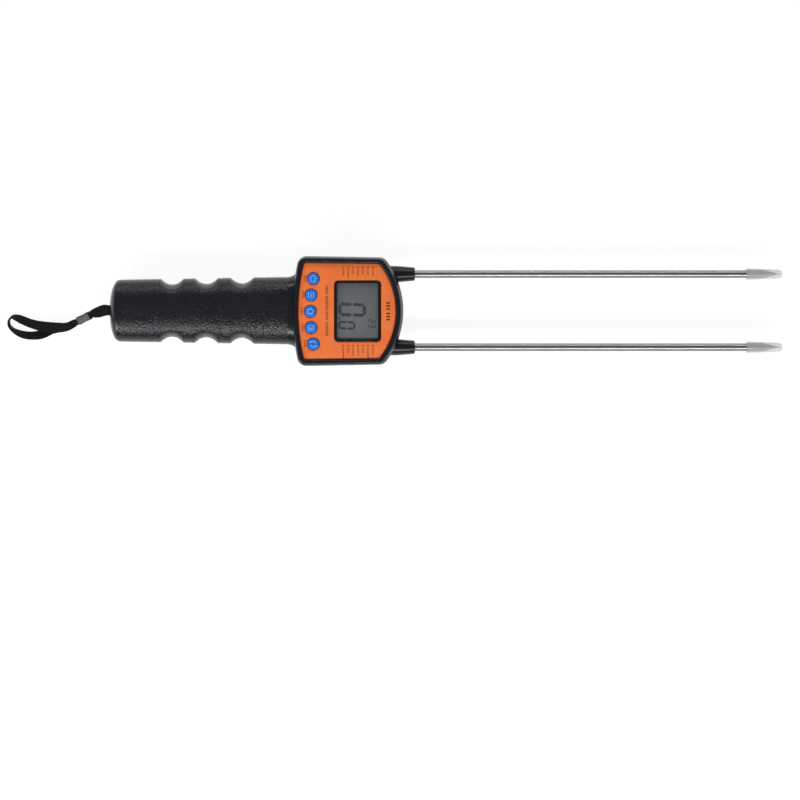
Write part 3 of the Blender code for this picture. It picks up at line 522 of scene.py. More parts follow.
def handle_stations(start, end, spacing=0.0016):
    """Places along the handle for its rings, closer together at grooves, notch edges and the domed end."""
    steps = round((end - start) / spacing)
    places = [start + (end - start) * step / steps for step in range(steps + 1)]
    places += [HANDLE_END + HANDLE_DOME * (s / 12) ** 2 for s in range(1, 12)]
    for groove in GROOVES:
        places += [groove + GROOVE_HALF_WIDTH * share for share in (-1.1, -0.6, 0, 0.6, 1.1)]
    for centre in NOTCH_CENTRES:
        for side in (-1, 1):
            places += [centre + side * (NOTCH_HALF_LENGTH + offset) for offset in (-0.0004, 0.0, 0.0002)]
    kept = []
    for place in sorted(p for p in places if start <= p <= end):
        if not kept or place - kept[-1] > 0.00012:
            kept.append(place)
    return kept


def handle_solid():
    bm = bmesh.new()
    add_loft(bm, [handle_ring(x) for x in handle_stations(HANDLE_END, NECK_END)])
    return bm


def head_solid():
    """The head as one loft, from its flat back, over the rim and down into the recess for the panel."""
    rings = []
    for step in range(7):
        angle = math.radians(15 * step)
        inset = HEAD_DRAFT + BACK_EDGE * (1 - math.sin(angle))
        rings.append(at_height(arched_outline(HEAD, inset), BACK_EDGE * (1 - math.cos(angle))))
    rings.append(at_height(arched_outline(HEAD), SPLIT_HEIGHT))
    rings.append(at_height(arched_outline(HEAD, WALL_TOP[1]), WALL_TOP[0]))
    for step in range(7):
        angle = math.radians(90 - 15 * step)
        inset = HEAD_DRAFT + RIM_EDGE[0] * (1 - math.sin(angle))
        lowered = RIM_EDGE[1] * (1 - math.cos(angle))
        rings.append(at_height(arched_outline(HEAD, inset, RIM_PULL), DEPTH - lowered))
    for step in range(5):
        angle = math.radians(22.5 * step)
        inset = -RIM_LIP * (1 - math.sin(angle))
        lowered = RIM_CROWN + RIM_LIP * (1 - math.cos(angle))
        rings.append(at_height(arched_outline(PANEL, inset), DEPTH - lowered))
    rings.append(at_height(arched_outline(PANEL), DECK_TOP))
    bm = bmesh.new()
    add_loft(bm, rings)
    return bm


head_cavity = bmesh.new()
add_prism(head_cavity, arched_outline(HEAD, WALL), WALL, DECK_UNDERSIDE)
bay = bmesh.new()
add_loft(bay, [handle_ring(x, BAY_INSET, grooved=False) for x in handle_stations(*BAY_X, 0.003)])
tunnel = bmesh.new()
add_box(tunnel, (BAY_X[1] - 0.001, -0.0100, 0.0070), (-0.0990, 0.0100, 0.0262))
posts = bmesh.new()
for place in HEAD_SCREWS:
    add_rod(posts, place, 0.0035, 0.0016, DECK_UNDERSIDE + 0.0010)
shank_holes = bmesh.new()
head_pockets = bmesh.new()
for place, lift in SCREWS:
    add_rod(shank_holes, place, 0.0016, SCREW_SEAT + lift, SCREW_TIP + lift + 0.0006, 20)
    add_rod(head_pockets, place, 0.0032, -0.002, SCREW_SEAT + lift + GAP)
probe_holes = bmesh.new()
for side in (1, -1):
    add_rod(probe_holes, (side * PROBE_Y, SPLIT_HEIGHT), COLLAR_HOLE, -0.0430, -0.0200, 40, "X")
strap_slot = bmesh.new()
add_box(strap_slot, (HANDLE_END - 0.002, -0.0046, 0.0140), (-0.2220, 0.0046, 0.0210))
bar_seat = bmesh.new()
add_rod(bar_seat, (STRAP_BAR_X, SPLIT_HEIGHT), 0.0015, -0.0078, 0.0078, 20, "Y")
key_holes = bmesh.new()
for place in KEYS.values():
    add_rod(key_holes, place, KEY_HOLE, DECK_UNDERSIDE - 0.001, DECK_TOP + 0.001)
display_hole = bmesh.new()
display_outline = rounded_box_outline(DISPLAY, GLASS_SIZE, 0.001)
add_prism(display_hole, display_outline, DECK_UNDERSIDE - 0.001, DECK_TOP + 0.001)

casing = shaped(
    head_solid(),
    [
        ("DIFFERENCE", key_holes),
        ("DIFFERENCE", display_hole),
        ("UNION", handle_solid()),
        ("DIFFERENCE", head_cavity),
        ("DIFFERENCE", bay),
        ("DIFFERENCE", tunnel),
        ("UNION", posts),
        ("DIFFERENCE", shank_holes),
        ("DIFFERENCE", head_pockets),
        ("DIFFERENCE", probe_holes),
        ("DIFFERENCE", strap_slot),
        ("DIFFERENCE", bar_seat),
    ],
)
above = bmesh.new()
add_box(above, (-0.24, -0.05, SPLIT_HEIGHT + GAP / 2), (-0.02, 0.05, 0.04))
below = bmesh.new()
add_box(below, (-0.24, -0.05, -0.01), (-0.02, 0.05, SPLIT_HEIGHT - GAP / 2))
cover_opening = bmesh.new()
add_box(
    cover_opening,
    (COVER_X[0] - GAP, -COVER_HALF_WIDTH - GAP, -0.002),
    (COVER_X[1] + GAP, COVER_HALF_WIDTH + GAP, 0.0049),
)
front = shaped(casing.copy(), [("INTERSECT", above)])
rear = shaped(casing, [("INTERSECT", below), ("DIFFERENCE", cover_opening)])

GRAIN_SIZE = 0.0012
SPARK_SIZE = 0.0008

# Moulded ABS, black: the mould was etched with a leather grain on the handle and left satin elsewhere, so
# the handle breaks highlights into specks and the head shows them as soft bands.
casing_black, tree, shader = new_material("moulded_abs_black", IOR=1.53, Specular_IOR_Level=0.40)
place_on = object_place(tree)
axes = add_node(tree, "ShaderNodeSeparateXYZ", {"Vector": place_on})
past_dome = remapped(tree, axes.outputs["X"], (0.0, 1.0), (-0.2240, -0.2222))
before_neck = remapped(tree, axes.outputs["X"], (0.0, 1.0), (-0.1070, -0.1085))
grained = computed(tree, "MULTIPLY", past_dome, before_neck)
cells = add_node(
    tree,
    "ShaderNodeTexVoronoi",
    {"Vector": place_on, "Scale": 1 / GRAIN_SIZE, "Randomness": 1.0},
    feature="SMOOTH_F1",
)
specks = noise(tree, place_on, 1 / SPARK_SIZE)
grain = computed(tree, "MULTIPLY_ADD", cells.outputs["Distance"], -1.0, specks)
grain_height = computed(tree, "MULTIPLY", grain, grained)
grain_bump = raised(tree, grain_height, 0.00026, 0.9)
satin = noise(tree, place_on, 900.0)
satin_bump = raised(tree, satin, 0.00002, 0.35, grain_bump)
tree.links.new(satin_bump, shader.inputs["Normal"])
gloss = remapped(tree, grained, (0.24, 0.20))
tree.links.new(gloss, shader.inputs["Roughness"])
rubbed = noise(tree, place_on, 60.0, 4.0, 0.55)
tone = mixed(tree, rubbed, "101115", "181A1F")
# Painted highlight: lighter specks over the grain of the handle, standing in for the glints that break up its
# highlights.
painted_glint_specks = remapped(tree, specks, (0.0, 0.5), (0.48, 0.66))
painted_glint_share = computed(tree, "MULTIPLY", painted_glint_specks, grained)
speckled = mixed(tree, painted_glint_share, tone, "2C2E34")
tree.links.new(speckled, shader.inputs["Base Color"])

add_piece("moulded_front", front, casing_black, "meter", ["front_shell"])
add_piece("moulded_rear", rear, casing_black, "meter", ["rear_shell"])

# ---------------------------------------------------------------- battery cover
# Door in the back of the handle, cut from the same curved shape and moulded in the same ABS. It tilts out
# about its edge nearest the head, and has grip ridges for the thumb at the other end.

RIDGES = 5
RIDGE_PITCH = 0.0016

door = bmesh.new()
add_box(door, (COVER_X[0], -COVER_HALF_WIDTH, -0.002), (COVER_X[1], COVER_HALF_WIDTH, COVER_TOP))
ridge_cuts = bmesh.new()
for step in range(RIDGES):
    middle = COVER_X[0] + 0.0050 + RIDGE_PITCH * step
    add_box(ridge_cuts, (middle - 0.0004, -0.0060, 0.0), (middle + 0.0004, 0.0060, 0.0016))
cover = shaped(door, [("INTERSECT", handle_solid()), ("DIFFERENCE", ridge_cuts)])
add_piece("moulded_battery_cover", cover, casing_black, "battery_cover", ["battery_cover"])

# ---------------------------------------------------------------- strap sleeve
# Strip of stainless steel folded round both strands of the strap and pressed in at its middle. Its two
# edges meet in a seam underneath.

SLEEVE_LENGTH = 0.0100
SLEEVE_SIZE = (0.0058, 0.0044)
SLEEVE_HOLE = (0.0050, 0.0035)
SLEEVE_CORNER = 0.0011
PRESS_DEPTH = 0.00022


def sleeve_ring(along, size, corner):
    """A rounded oblong round the sleeve's axis."""
    outline = rounded_box_outline((0.0, 0.0), size, corner)
    return [CLAMP_CENTRE + CLAMP_AXIS * along + CLAMP_SIDE * a + CLAMP_UP * b for a, b in outline]


sleeve_rings = []
for share in (-1.0, -0.985, -0.95, -0.6, -0.45, -0.3, -0.15, 0.0, 0.15, 0.3, 0.45, 0.6, 0.95, 0.985, 1.0):
    rounding = 0.00018 * max(0.0, (abs(share) - 0.95) / 0.05) ** 2
    pressed = PRESS_DEPTH * gentle_step(1 - abs(share) / 0.6)
    size = [side - 2 * (rounding + pressed) for side in SLEEVE_SIZE]
    sleeve_rings.append(sleeve_ring(share * SLEEVE_LENGTH / 2, size, SLEEVE_CORNER))
for share in (1.0, -1.0):
    sleeve_rings.append(sleeve_ring(share * SLEEVE_LENGTH / 2, SLEEVE_HOLE, SLEEVE_CORNER - 0.0004))
sleeve = bmesh.new()
sleeve_loops = add_loft(sleeve, sleeve_rings, closed_ends=False)
bmesh.ops.bridge_loops(sleeve, edges=sleeve_loops[-1] + sleeve_loops[0])
bmesh.ops.recalc_face_normals(sleeve, faces=sleeve.faces)
seam = bmesh.new()
seam_place = CLAMP_CENTRE - CLAMP_UP * (SLEEVE_SIZE[1] / 2)
seam_axes = Matrix((CLAMP_AXIS, CLAMP_SIDE, CLAMP_UP)).transposed().to_4x4()
seam_size = Matrix.Diagonal((SLEEVE_LENGTH + 0.001, 0.00022, 0.0005, 1.0))
bmesh.ops.create_cube(seam, size=1.0, matrix=Matrix.Translation(seam_place) @ seam_axes @ seam_size)

# Stainless strip, brushed along the sleeve, so that it shines in streaks instead of spots.
brushed_steel, tree, shader = new_material("stainless_strip_brushed", Metallic=1.0, Roughness=0.62)
shader.inputs["Anisotropic"].default_value = 0.5
place_on = object_place(tree)
turned_in = add_node(
    tree,
    "ShaderNodeMapping",
    {
        "Vector": place_on,
        "Rotation": (0.0, 0.0, -math.atan2(CLAMP_AXIS.y, CLAMP_AXIS.x)),
        "Scale": (0.03, 1.0, 1.0),
    },
)
brushing = noise(tree, turned_in.outputs["Vector"], 5000.0, 3.0)
steel_tone = mixed(tree, brushing, "4C4E50", "747678")
tree.links.new(steel_tone, shader.inputs["Base Color"])
brush_bump = raised(tree, brushing, 0.00002, 0.5)
tree.links.new(brush_bump, shader.inputs["Normal"])
folded_sleeve = add_piece(
    "folded_sleeve",
    shaped(sleeve, [("DIFFERENCE", seam)]),
    brushed_steel,
    "meter",
    ["strap_clamp"],
    30,
)

# ---------------------------------------------------------------- front panel
# Orange polycarbonate sheet stuck in the recess of the head, with holes for the keys and the display. Its
# printed words are left out, and rows of small plain bars stand in their places.

OVERLAY_BASE = DECK_TOP + GAP
OVERLAY_TOP = 0.0332
OVERLAY_EDGE = 0.00028
FRAME_SIZE = (0.0314, 0.0413)
PRINT_RISE = 0.00002


def circle(centre, radius, z, sides=40):
    """A ring of points round an upright axis."""
    turns = [2 * math.pi * step / sides for step in range(sides)]
    return [(centre[0] + radius * math.cos(t), centre[1] + radius * math.sin(t), z) for t in turns]


def add_bars(bm, start, groups, bar, pitch, gap=1.6):
    """A row of upright bars in groups, starting at a point and running towards -Y."""
    y = start[1]
    for count in groups:
        for _ in range(count):
            low = (start[0] - bar[0] / 2, y - bar[1], OVERLAY_TOP - 0.00005)
            add_box(bm, low, (start[0] + bar[0] / 2, y, OVERLAY_TOP + PRINT_RISE))
            y -= pitch
        y -= pitch * (gap - 1)


sheet = bmesh.new()
sheet_rings = [at_height(arched_outline(PANEL, GAP), z) for z in (OVERLAY_BASE, OVERLAY_TOP - OVERLAY_EDGE)]
for step in (1, 2, 3):
    angle = math.radians(30 * step)
    inset = GAP + OVERLAY_EDGE * (1 - math.cos(angle))
    rise = OVERLAY_EDGE * math.sin(angle)
    sheet_rings.append(at_height(arched_outline(PANEL, inset), OVERLAY_TOP - OVERLAY_EDGE + rise))
add_loft(sheet, sheet_rings)
sheet_holes = bmesh.new()
for place in KEYS.values():
    levels = ((KEY_HOLE, OVERLAY_BASE - 0.001), (KEY_HOLE, OVERLAY_TOP - 0.0002))
    flare = ((KEY_HOLE + 0.0002, OVERLAY_TOP + 0.00001), (KEY_HOLE + 0.0002, OVERLAY_TOP + 0.001))
    add_loft(sheet_holes, [circle(place, radius, z) for radius, z in levels + flare])
frame_hole = bmesh.new()
hole_size = [side + 2 * GAP for side in FRAME_SIZE]
frame_outline = rounded_box_outline(DISPLAY, hole_size, 0.0029)
add_prism(frame_hole, frame_outline, OVERLAY_BASE - 0.001, OVERLAY_TOP + 0.001)
sheet = shaped(sheet, [("DIFFERENCE", sheet_holes), ("DIFFERENCE", frame_hole)])

# Polycarbonate, orange, with the fine satin tooth of printed overlay sheet: an even colour that clouds
# faintly from place to place, and a soft sheen with no mirror image in it.
panel_orange, tree, shader = new_material("polycarbonate_sheet_orange_satin", Roughness=0.46, IOR=1.55)
place_on = object_place(tree)
clouding = noise(tree, place_on, 110.0, 3.0)
cloud_range = remapped(tree, clouding, (0.0, 1.0), (0.3, 0.7))
panel_tone = mixed(tree, cloud_range, "EE6E2B", "F57C38")
tree.links.new(panel_tone, shader.inputs["Base Color"])
tooth = noise(tree, place_on, 5000.0)
tooth_bump = raised(tree, tooth, 0.00002, 0.5)
tree.links.new(tooth_bump, shader.inputs["Normal"])
add_piece("orange_panel_sheet", sheet, panel_orange, "meter", ["panel_overlay"])

bars = bmesh.new()
add_bars(bars, (-0.0812, 0.0172), (5, 8, 5, 8), (0.0018, 0.00060), 0.00123)
add_bars(bars, (-0.0396, 0.0062), (3, 3), (0.0026, 0.0011), 0.00205, 1.5)
for row, (above_count, below_count) in enumerate(((4, 9), (6, 4), (3, 6), (5, 6), (3, 4), (4, 8), (5, 5))):
    x = -0.0701 + 0.00336 * row
    add_bars(bars, (x, 0.0301), (2, above_count), (0.0010, 0.00048), 0.00090)
    add_bars(bars, (x, -0.0228), (2, below_count), (0.0010, 0.00048), 0.00090)
for (x, y), offset in zip(KEYS.values(), (0.0056, 0.0055, 0.0059, 0.0056, 0.0056)):
    add_bars(bars, (x - offset, y + 0.0026), (6,), (0.0012, 0.00040), 0.00085)

# Screen-printing ink, dark brown, thin enough to let a little of the orange through at its edges.
print_ink, tree, shader = new_material("screen_print_ink_brown", Roughness=0.55)
place_on = object_place(tree)
coverage = noise(tree, place_on, 3000.0)
ink_tone = mixed(tree, coverage, "3A1508", "6A2A10")
tree.links.new(ink_tone, shader.inputs["Base Color"])
add_piece("printed_bars", bars, print_ink, "meter")

# ---------------------------------------------------------------- display
# Gloss black frame on the deck, a clear acrylic window under its lip, and a liquid-crystal module whose grey
# face stands right under the window. It shows dark seven-segment figures that read from the tip end.

FRAME_TOP = 0.0339
FRAME_EDGE = 0.00045
WINDOW_SIZE = (0.0294, 0.0393)
MODULE_SIZE = (0.0334, 0.0432)
MODULE_Z = (0.0253, 0.0297)
FACE_TOP = 0.0321
FIGURE_RISE = 0.00005
FIGURE_FOOT = -0.0735
FIGURE_SLANT = 0.04
SEGMENTS = {
    "top": ((0, 2), (1, 2)),
    "upper_left": ((0, 1), (0, 2)),
    "upper_right": ((1, 1), (1, 2)),
    "middle": ((0, 1), (1, 1)),
    "lower_left": ((0, 0), (0, 1)),
    "lower_right": ((1, 0), (1, 1)),
    "bottom": ((0, 0), (1, 0)),
}
ZERO = [name for name in SEGMENTS if name != "middle"]
TWO = ["top", "upper_right", "middle", "lower_left", "bottom"]
THREE = ["top", "upper_right", "middle", "lower_right", "bottom"]


def add_figure(bm, foot, left, size, stroke, lit):
    """A seven-segment figure with its foot at x = foot and its left side at y = left."""
    width, height = size[0] - stroke, size[1] - stroke
    for name in lit:
        ends = [(stroke / 2 + u * width, stroke / 2 + v * height / 2) for u, v in SEGMENTS[name]]
        (u0, v0), (u1, v1) = ends
        length = math.hypot(u1 - u0, v1 - v0)
        along = ((u1 - u0) / length, (v1 - v0) / length)
        gap, half = 0.14 * stroke, stroke / 2
        outline = []
        for step, lift in (
            (gap, 0.0),
            (gap + half * 0.8, -half),
            (length - gap - half * 0.8, -half),
            (length - gap, 0.0),
            (length - gap - half * 0.8, half),
            (gap + half * 0.8, half),
        ):
            u = u0 + along[0] * step - along[1] * lift
            v = v0 + along[1] * step + along[0] * lift
            outline.append((foot + v, left - u - FIGURE_SLANT * v))
        add_prism(bm, outline, FACE_TOP - 0.00005, FACE_TOP + FIGURE_RISE)


def resized_outline(size, corner, spread):
    """A rounded box round the display, wider than its size by the spread on every side."""
    return rounded_box_outline(DISPLAY, [side + 2 * spread for side in size], corner + spread, 8)


bezel = bmesh.new()
bezel_rings = []
for height, inset in ((OVERLAY_BASE, 0.0), (FRAME_TOP - FRAME_EDGE, 0.0)):
    bezel_rings.append((height, inset))
for step in (1, 2, 3, 4):
    angle = math.radians(22.5 * step)
    bezel_rings.append((FRAME_TOP - FRAME_EDGE * (1 - math.sin(angle)), FRAME_EDGE * (1 - math.cos(angle))))
add_loft(
    bezel,
    [
        at_height(resized_outline(FRAME_SIZE, 0.0026, -inset), z)
        for z, inset in bezel_rings
    ],
)
bezel_opening = bmesh.new()
add_loft(
    bezel_opening,
    [
        at_height(resized_outline(GLASS_SIZE, 0.0018, spread), z)
        for z, spread in (
            (OVERLAY_BASE - 0.001, 0.0),
            (FRAME_TOP - 0.0004, 0.0),
            (FRAME_TOP - 0.0001, 0.00012),
            (FRAME_TOP + 0.0002, 0.0005),
        )
    ],
)
rabbet = bmesh.new()
rabbet_size = [side + 2 * GAP for side in WINDOW_SIZE]
add_prism(rabbet, rounded_box_outline(DISPLAY, rabbet_size, 0.001), OVERLAY_BASE - 0.0005, FRAME_TOP - 0.0005)
bezel = shaped(bezel, [("DIFFERENCE", bezel_opening), ("DIFFERENCE", rabbet)])

# Gloss black ABS: nearly a mirror on its rounded edge, dulled a little by fine dust.
frame_black, tree, shader = new_material("abs_gloss_black", Roughness=0.16)
place_on = object_place(tree)
dust = noise(tree, place_on, 1500.0, 4.0)
dulled = remapped(tree, dust, (0.12, 0.24))
tree.links.new(dulled, shader.inputs["Roughness"])
shader.inputs["Base Color"].default_value = linear("0E0E10")
add_piece("display_bezel", bezel, frame_black, "meter", ["lcd_frame"])

window = bmesh.new()
window_z = (OVERLAY_BASE, FRAME_TOP - 0.0009)
window_rings = []
for z, inset in ((window_z[0], 0.0), (window_z[1] - 0.0001, 0.0), (window_z[1], 0.0001)):
    outline = rounded_box_outline(DISPLAY, [side - 2 * inset for side in WINDOW_SIZE], 0.0008 - inset)
    window_rings.append(at_height(outline, z))
add_loft(window, window_rings)

# Clear acrylic window: almost nothing of it shows but a faint even sheen and a few hairline scratches.
window_clear, tree, shader = new_material("acrylic_clear_polished", IOR=1.49, Alpha=0.02)
shader.inputs["Base Color"].default_value = linear("C8D0D4")
place_on = object_place(tree)
scratch_place = add_node(
    tree,
    "ShaderNodeMapping",
    {"Vector": place_on, "Rotation": (0.0, 0.0, 0.7), "Scale": (0.02, 1.0, 1.0)},
)
scratches = noise(tree, scratch_place.outputs["Vector"], 4000.0)
scratch_range = remapped(tree, scratches, (0.06, 0.30), (0.62, 0.75))
tree.links.new(scratch_range, shader.inputs["Roughness"])
add_piece("clear_window", window, window_clear, "meter", ["lcd_window"])

module = bmesh.new()
module_rings = []
module_levels = [(MODULE_Z[0], 0.0002), (MODULE_Z[0] + 0.0002, 0.0)]
module_levels += [(MODULE_Z[1] - 0.0002, 0.0), (MODULE_Z[1], 0.0002)]
for z, inset in module_levels:
    outline = rounded_box_outline(DISPLAY, [side - 2 * inset for side in MODULE_SIZE], 0.0008 - inset)
    module_rings.append(at_height(outline, z))
add_loft(module, module_rings)
face = bmesh.new()
face_outline = rounded_box_outline(DISPLAY, [side - 2 * GAP for side in GLASS_SIZE], 0.0007)
add_prism(face, face_outline, MODULE_Z[1] - 0.001, FACE_TOP)
module = shaped(module, [("UNION", face)])

# Reflective liquid-crystal glass, warm grey and cloudy rather than even, with painted shade that makes it a
# little darker towards its edges, where the frame shadows it.
lcd_grey, tree, shader = new_material("liquid_crystal_glass_grey", Roughness=0.35)
place_on = object_place(tree)
from_middle = add_node(
    tree,
    "ShaderNodeMapping",
    {
        "Vector": place_on,
        "Location": (0.0630 / 0.021, 0.0040 / 0.026, 0.0),
        "Scale": (1 / 0.021, 1 / 0.026, 0.0),
    },
)
# Painted shade: a round gradient, lightest near the middle of the face and darker towards the frame.
spread = add_node(
    tree, "ShaderNodeTexGradient", {"Vector": from_middle.outputs["Vector"]}, gradient_type="SPHERICAL"
)
cloudy = noise(tree, place_on, 180.0, 3.0)
cloud_and_painted_edge_shade = computed(tree, "MULTIPLY_ADD", cloudy, 0.35, spread.outputs["Fac"])
lcd_tone = mixed(tree, cloud_and_painted_edge_shade, "4C5053", "64686B")
tree.links.new(lcd_tone, shader.inputs["Base Color"])
add_piece("display_module", module, lcd_grey, "meter", ["lcd_module"])

figures = bmesh.new()
add_figure(figures, FIGURE_FOOT, 0.0060, (0.0092, 0.0188), 0.0021, ZERO)
add_prism(
    figures,
    rounded_box_outline((FIGURE_FOOT + 0.0006, -0.0048), (0.0011, 0.0011), 0.0002, 2),
    FACE_TOP - 0.00005,
    FACE_TOP + FIGURE_RISE,
)
add_figure(figures, FIGURE_FOOT, -0.0065, (0.0056, 0.0116), 0.0014, ZERO)
add_figure(figures, -0.0534, -0.0051, (0.0027, 0.0053), 0.00070, TWO)
add_figure(figures, -0.0534, -0.0083, (0.0027, 0.0053), 0.00070, THREE)

# Liquid-crystal segments that are switched on: a dark bluish grey that is never quite black.
segment_dark, tree, shader = new_material("liquid_crystal_segment_dark", Roughness=0.35)
place_on = object_place(tree)
uneven = noise(tree, place_on, 700.0)
segment_tone = mixed(tree, uneven, "1E2225", "2C3134")
tree.links.new(segment_tone, shader.inputs["Base Color"])
add_piece("display_figures", figures, segment_dark, "meter")

# ---------------------------------------------------------------- keys
# Five round keys moulded in blue plastic, each with a lighter symbol of its own on the slightly domed top.
# Each slides down through the deck, held by a flange under it.

KEY_RADIUS = 0.0041
KEY_TOP = 0.0343
KEY_BASE = 0.0287
KEY_FLANGE = 0.0053
KEY_DOME = 0.00030
KEY_EDGE = 0.0008
SYMBOL_WIDTH = 0.00060
SYMBOL_RISE = 0.00004


def add_turned(bm, profile, centre, axis="X", sides=40, hollow=False):
    """Turns a profile of (along, radius) round an axis through the other two coordinates."""
    rings = []
    for along, radius in profile:
        ring = []
        for step in range(sides):
            angle = 2 * math.pi * step / sides
            a, b = centre[0] + radius * math.cos(angle), centre[1] + radius * math.sin(angle)
            ring.append((along, a, b) if axis == "X" else (a, b, along))
        rings.append(ring)
    loops = add_loft(bm, rings, closed_ends=not hollow)
    if hollow:
        bmesh.ops.bridge_loops(bm, edges=loops[-1] + loops[0])


def dome_height(centre, x, y):
    reach = math.hypot(x - centre[0], y - centre[1]) / (KEY_RADIUS - KEY_EDGE)
    return KEY_TOP - KEY_DOME * reach**2


def add_stroke(bm, centre, points, width=SYMBOL_WIDTH, closed=False):
    """A raised line on a key's dome, through points measured from the key's centre."""
    rings = []
    count = len(points)
    for index, point in enumerate(points):
        before = points[(index - 1) % count] if closed else points[max(index - 1, 0)]
        after = points[(index + 1) % count] if closed else points[min(index + 1, count - 1)]
        along = Vector((after[0] - before[0], after[1] - before[1])).normalized()
        side = Vector((-along.y, along.x)) * (width / 2)
        ring = []
        for sign, lift in ((1, -0.0002), (1, SYMBOL_RISE), (-1, SYMBOL_RISE), (-1, -0.0002)):
            x, y = centre[0] + point[0] + sign * side.x, centre[1] + point[1] + sign * side.y
            ring.append((x, y, dome_height(centre, x, y) + lift))
        rings.append(ring)
    loops = add_loft(bm, rings, closed_ends=not closed)
    if closed:
        bmesh.ops.bridge_loops(bm, edges=loops[-1] + loops[0])


def along_line(start, end, steps=6):
    return [tuple(a + (b - a) * step / steps for a, b in zip(start, end)) for step in range(steps + 1)]


def along_arc(centre, radius, start, end, steps=20):
    turns = [math.radians(start + (end - start) * step / steps) for step in range(steps + 1)]
    return [(centre[0] + radius * math.cos(t), centre[1] + radius * math.sin(t)) for t in turns]


SYMBOLS = {
    "power_key": [
        along_arc((0.0, 0.0), 0.0020, 35, 325),
        along_line((0.0003, 0.0), (0.0023, 0.0)),
    ],
    "menu_key": [
        along_line((0.0017, 0.0020), (0.0017, -0.0020)),
        along_line((0.0, 0.0020), (0.0, -0.0020)),
        along_line((-0.0017, 0.0020), (-0.0017, -0.0020)),
    ],
    "home_key": [
        along_line((0.0001, 0.0023), (0.0022, 0.0), 5) + along_line((0.0022, 0.0), (0.0001, -0.0023), 5)[1:],
        along_line((0.0006, 0.0015), (-0.0018, 0.0015), 4)
        + along_line((-0.0018, 0.0015), (-0.0018, -0.0015), 5)[1:]
        + along_line((-0.0018, -0.0015), (0.0006, -0.0015), 4)[1:],
    ],
    "list_key": [
        along_line((0.0018, 0.0020), (0.0018, -0.0020)),
        along_line((0.0006, 0.0020), (0.0006, 0.0011), 2),
        along_line((0.0006, 0.0002), (0.0006, -0.0020), 4),
        along_line((-0.0006, 0.0020), (-0.0006, 0.0011), 2),
        along_line((-0.0006, 0.0002), (-0.0006, -0.0020), 4),
        along_line((-0.0018, 0.0020), (-0.0018, -0.0020)),
    ],
    "cycle_key": [
        along_arc((0.0, 0.0), 0.0019, 20, 150),
        along_arc((0.0, 0.0), 0.0019, 200, 330),
        along_line((-0.0027, 0.0014), (-0.0016, 0.0010), 3)
        + along_line((-0.0016, 0.0010), (-0.0011, 0.0021), 3)[1:],
        along_line((0.0027, -0.0014), (0.0016, -0.0010), 3)
        + along_line((0.0016, -0.0010), (0.0011, -0.0021), 3)[1:],
    ],
}

key_profile = [(KEY_BASE, 0.00005), (KEY_BASE, KEY_FLANGE - 0.0002), (KEY_BASE + 0.0002, KEY_FLANGE)]
key_profile += [(DECK_UNDERSIDE - GAP, KEY_FLANGE), (DECK_UNDERSIDE - GAP, KEY_RADIUS)]
edge_height = KEY_TOP - KEY_DOME
key_profile.append((edge_height - KEY_EDGE, KEY_RADIUS))
for step in range(1, 7):
    angle = math.radians(15 * step)
    radius = KEY_RADIUS - KEY_EDGE * (1 - math.cos(angle))
    key_profile.append((edge_height - KEY_EDGE * (1 - math.sin(angle)), radius))
for share in (0.8, 0.6, 0.4, 0.2, 0.02):
    key_profile.append((KEY_TOP - KEY_DOME * share**2, (KEY_RADIUS - KEY_EDGE) * share))

# Blue key plastic with a satin skin: a clear mid blue with soft highlights round the edge of each dome.
key_blue, tree, shader = new_material("key_plastic_blue_satin", IOR=1.5)
place_on = object_place(tree)
skin = noise(tree, place_on, 2500.0)
skin_gloss = remapped(tree, skin, (0.22, 0.34))
tree.links.new(skin_gloss, shader.inputs["Roughness"])
blue_tone = mixed(tree, skin, "1F69CE", "2874DA")
tree.links.new(blue_tone, shader.inputs["Base Color"])

# Symbol ink, light blue, a little glossier than the key under it.
symbol_blue, tree, shader = new_material("symbol_ink_light_blue", Roughness=0.3)
place_on = object_place(tree)
ink_body = noise(tree, place_on, 2000.0)
symbol_tone = mixed(tree, ink_body, "66B2FF", "84C6FF")
tree.links.new(symbol_tone, shader.inputs["Base Color"])

for name, centre in KEYS.items():
    cap = bmesh.new()
    add_turned(cap, key_profile, centre, axis="Z", sides=48)
    add_piece(f"moulded_{name}", cap, key_blue, name, [name])
    symbol = bmesh.new()
    for points in SYMBOLS[name]:
        add_stroke(symbol, centre, points)
    add_piece(f"{name}_symbol", symbol, symbol_blue, name)

# ---------------------------------------------------------------- probes
# Two solid stainless rods, ground to a point, each held in a tapered gloss-black nylon collar with a flange
# and a nut inside the head. A soft clear vinyl cap is pushed over each point.

PROBE_RADIUS = 0.00275
PROBE_BACK = -0.053
PROBE_CONE_START = 0.2160
PROBE_POINT = 0.2274
BORE_RADIUS = PROBE_RADIUS + GAP
COLLAR_FLANGE_BACK = -0.0446
COLLAR_END = -0.0214
CAP_START = 0.2052
CAP_END = 0.230
CAP_RADIUS = 0.00405
CAP_TIP_RADIUS = 0.0032
NUT_SIZE = 0.0051

rod_profile = [
    (PROBE_BACK, 0.00010),
    (PROBE_BACK, PROBE_RADIUS - 0.0002),
    (PROBE_BACK + 0.0002, PROBE_RADIUS),
    (PROBE_CONE_START - 0.0012, PROBE_RADIUS),
    (PROBE_CONE_START - 0.0004, PROBE_RADIUS - 0.00004),
    (PROBE_CONE_START + 0.0006, PROBE_RADIUS - 0.00022),
    (PROBE_POINT - 0.0012, 0.00038),
    (PROBE_POINT - 0.0004, 0.00020),
    (PROBE_POINT - 0.0001, 0.00008),
]

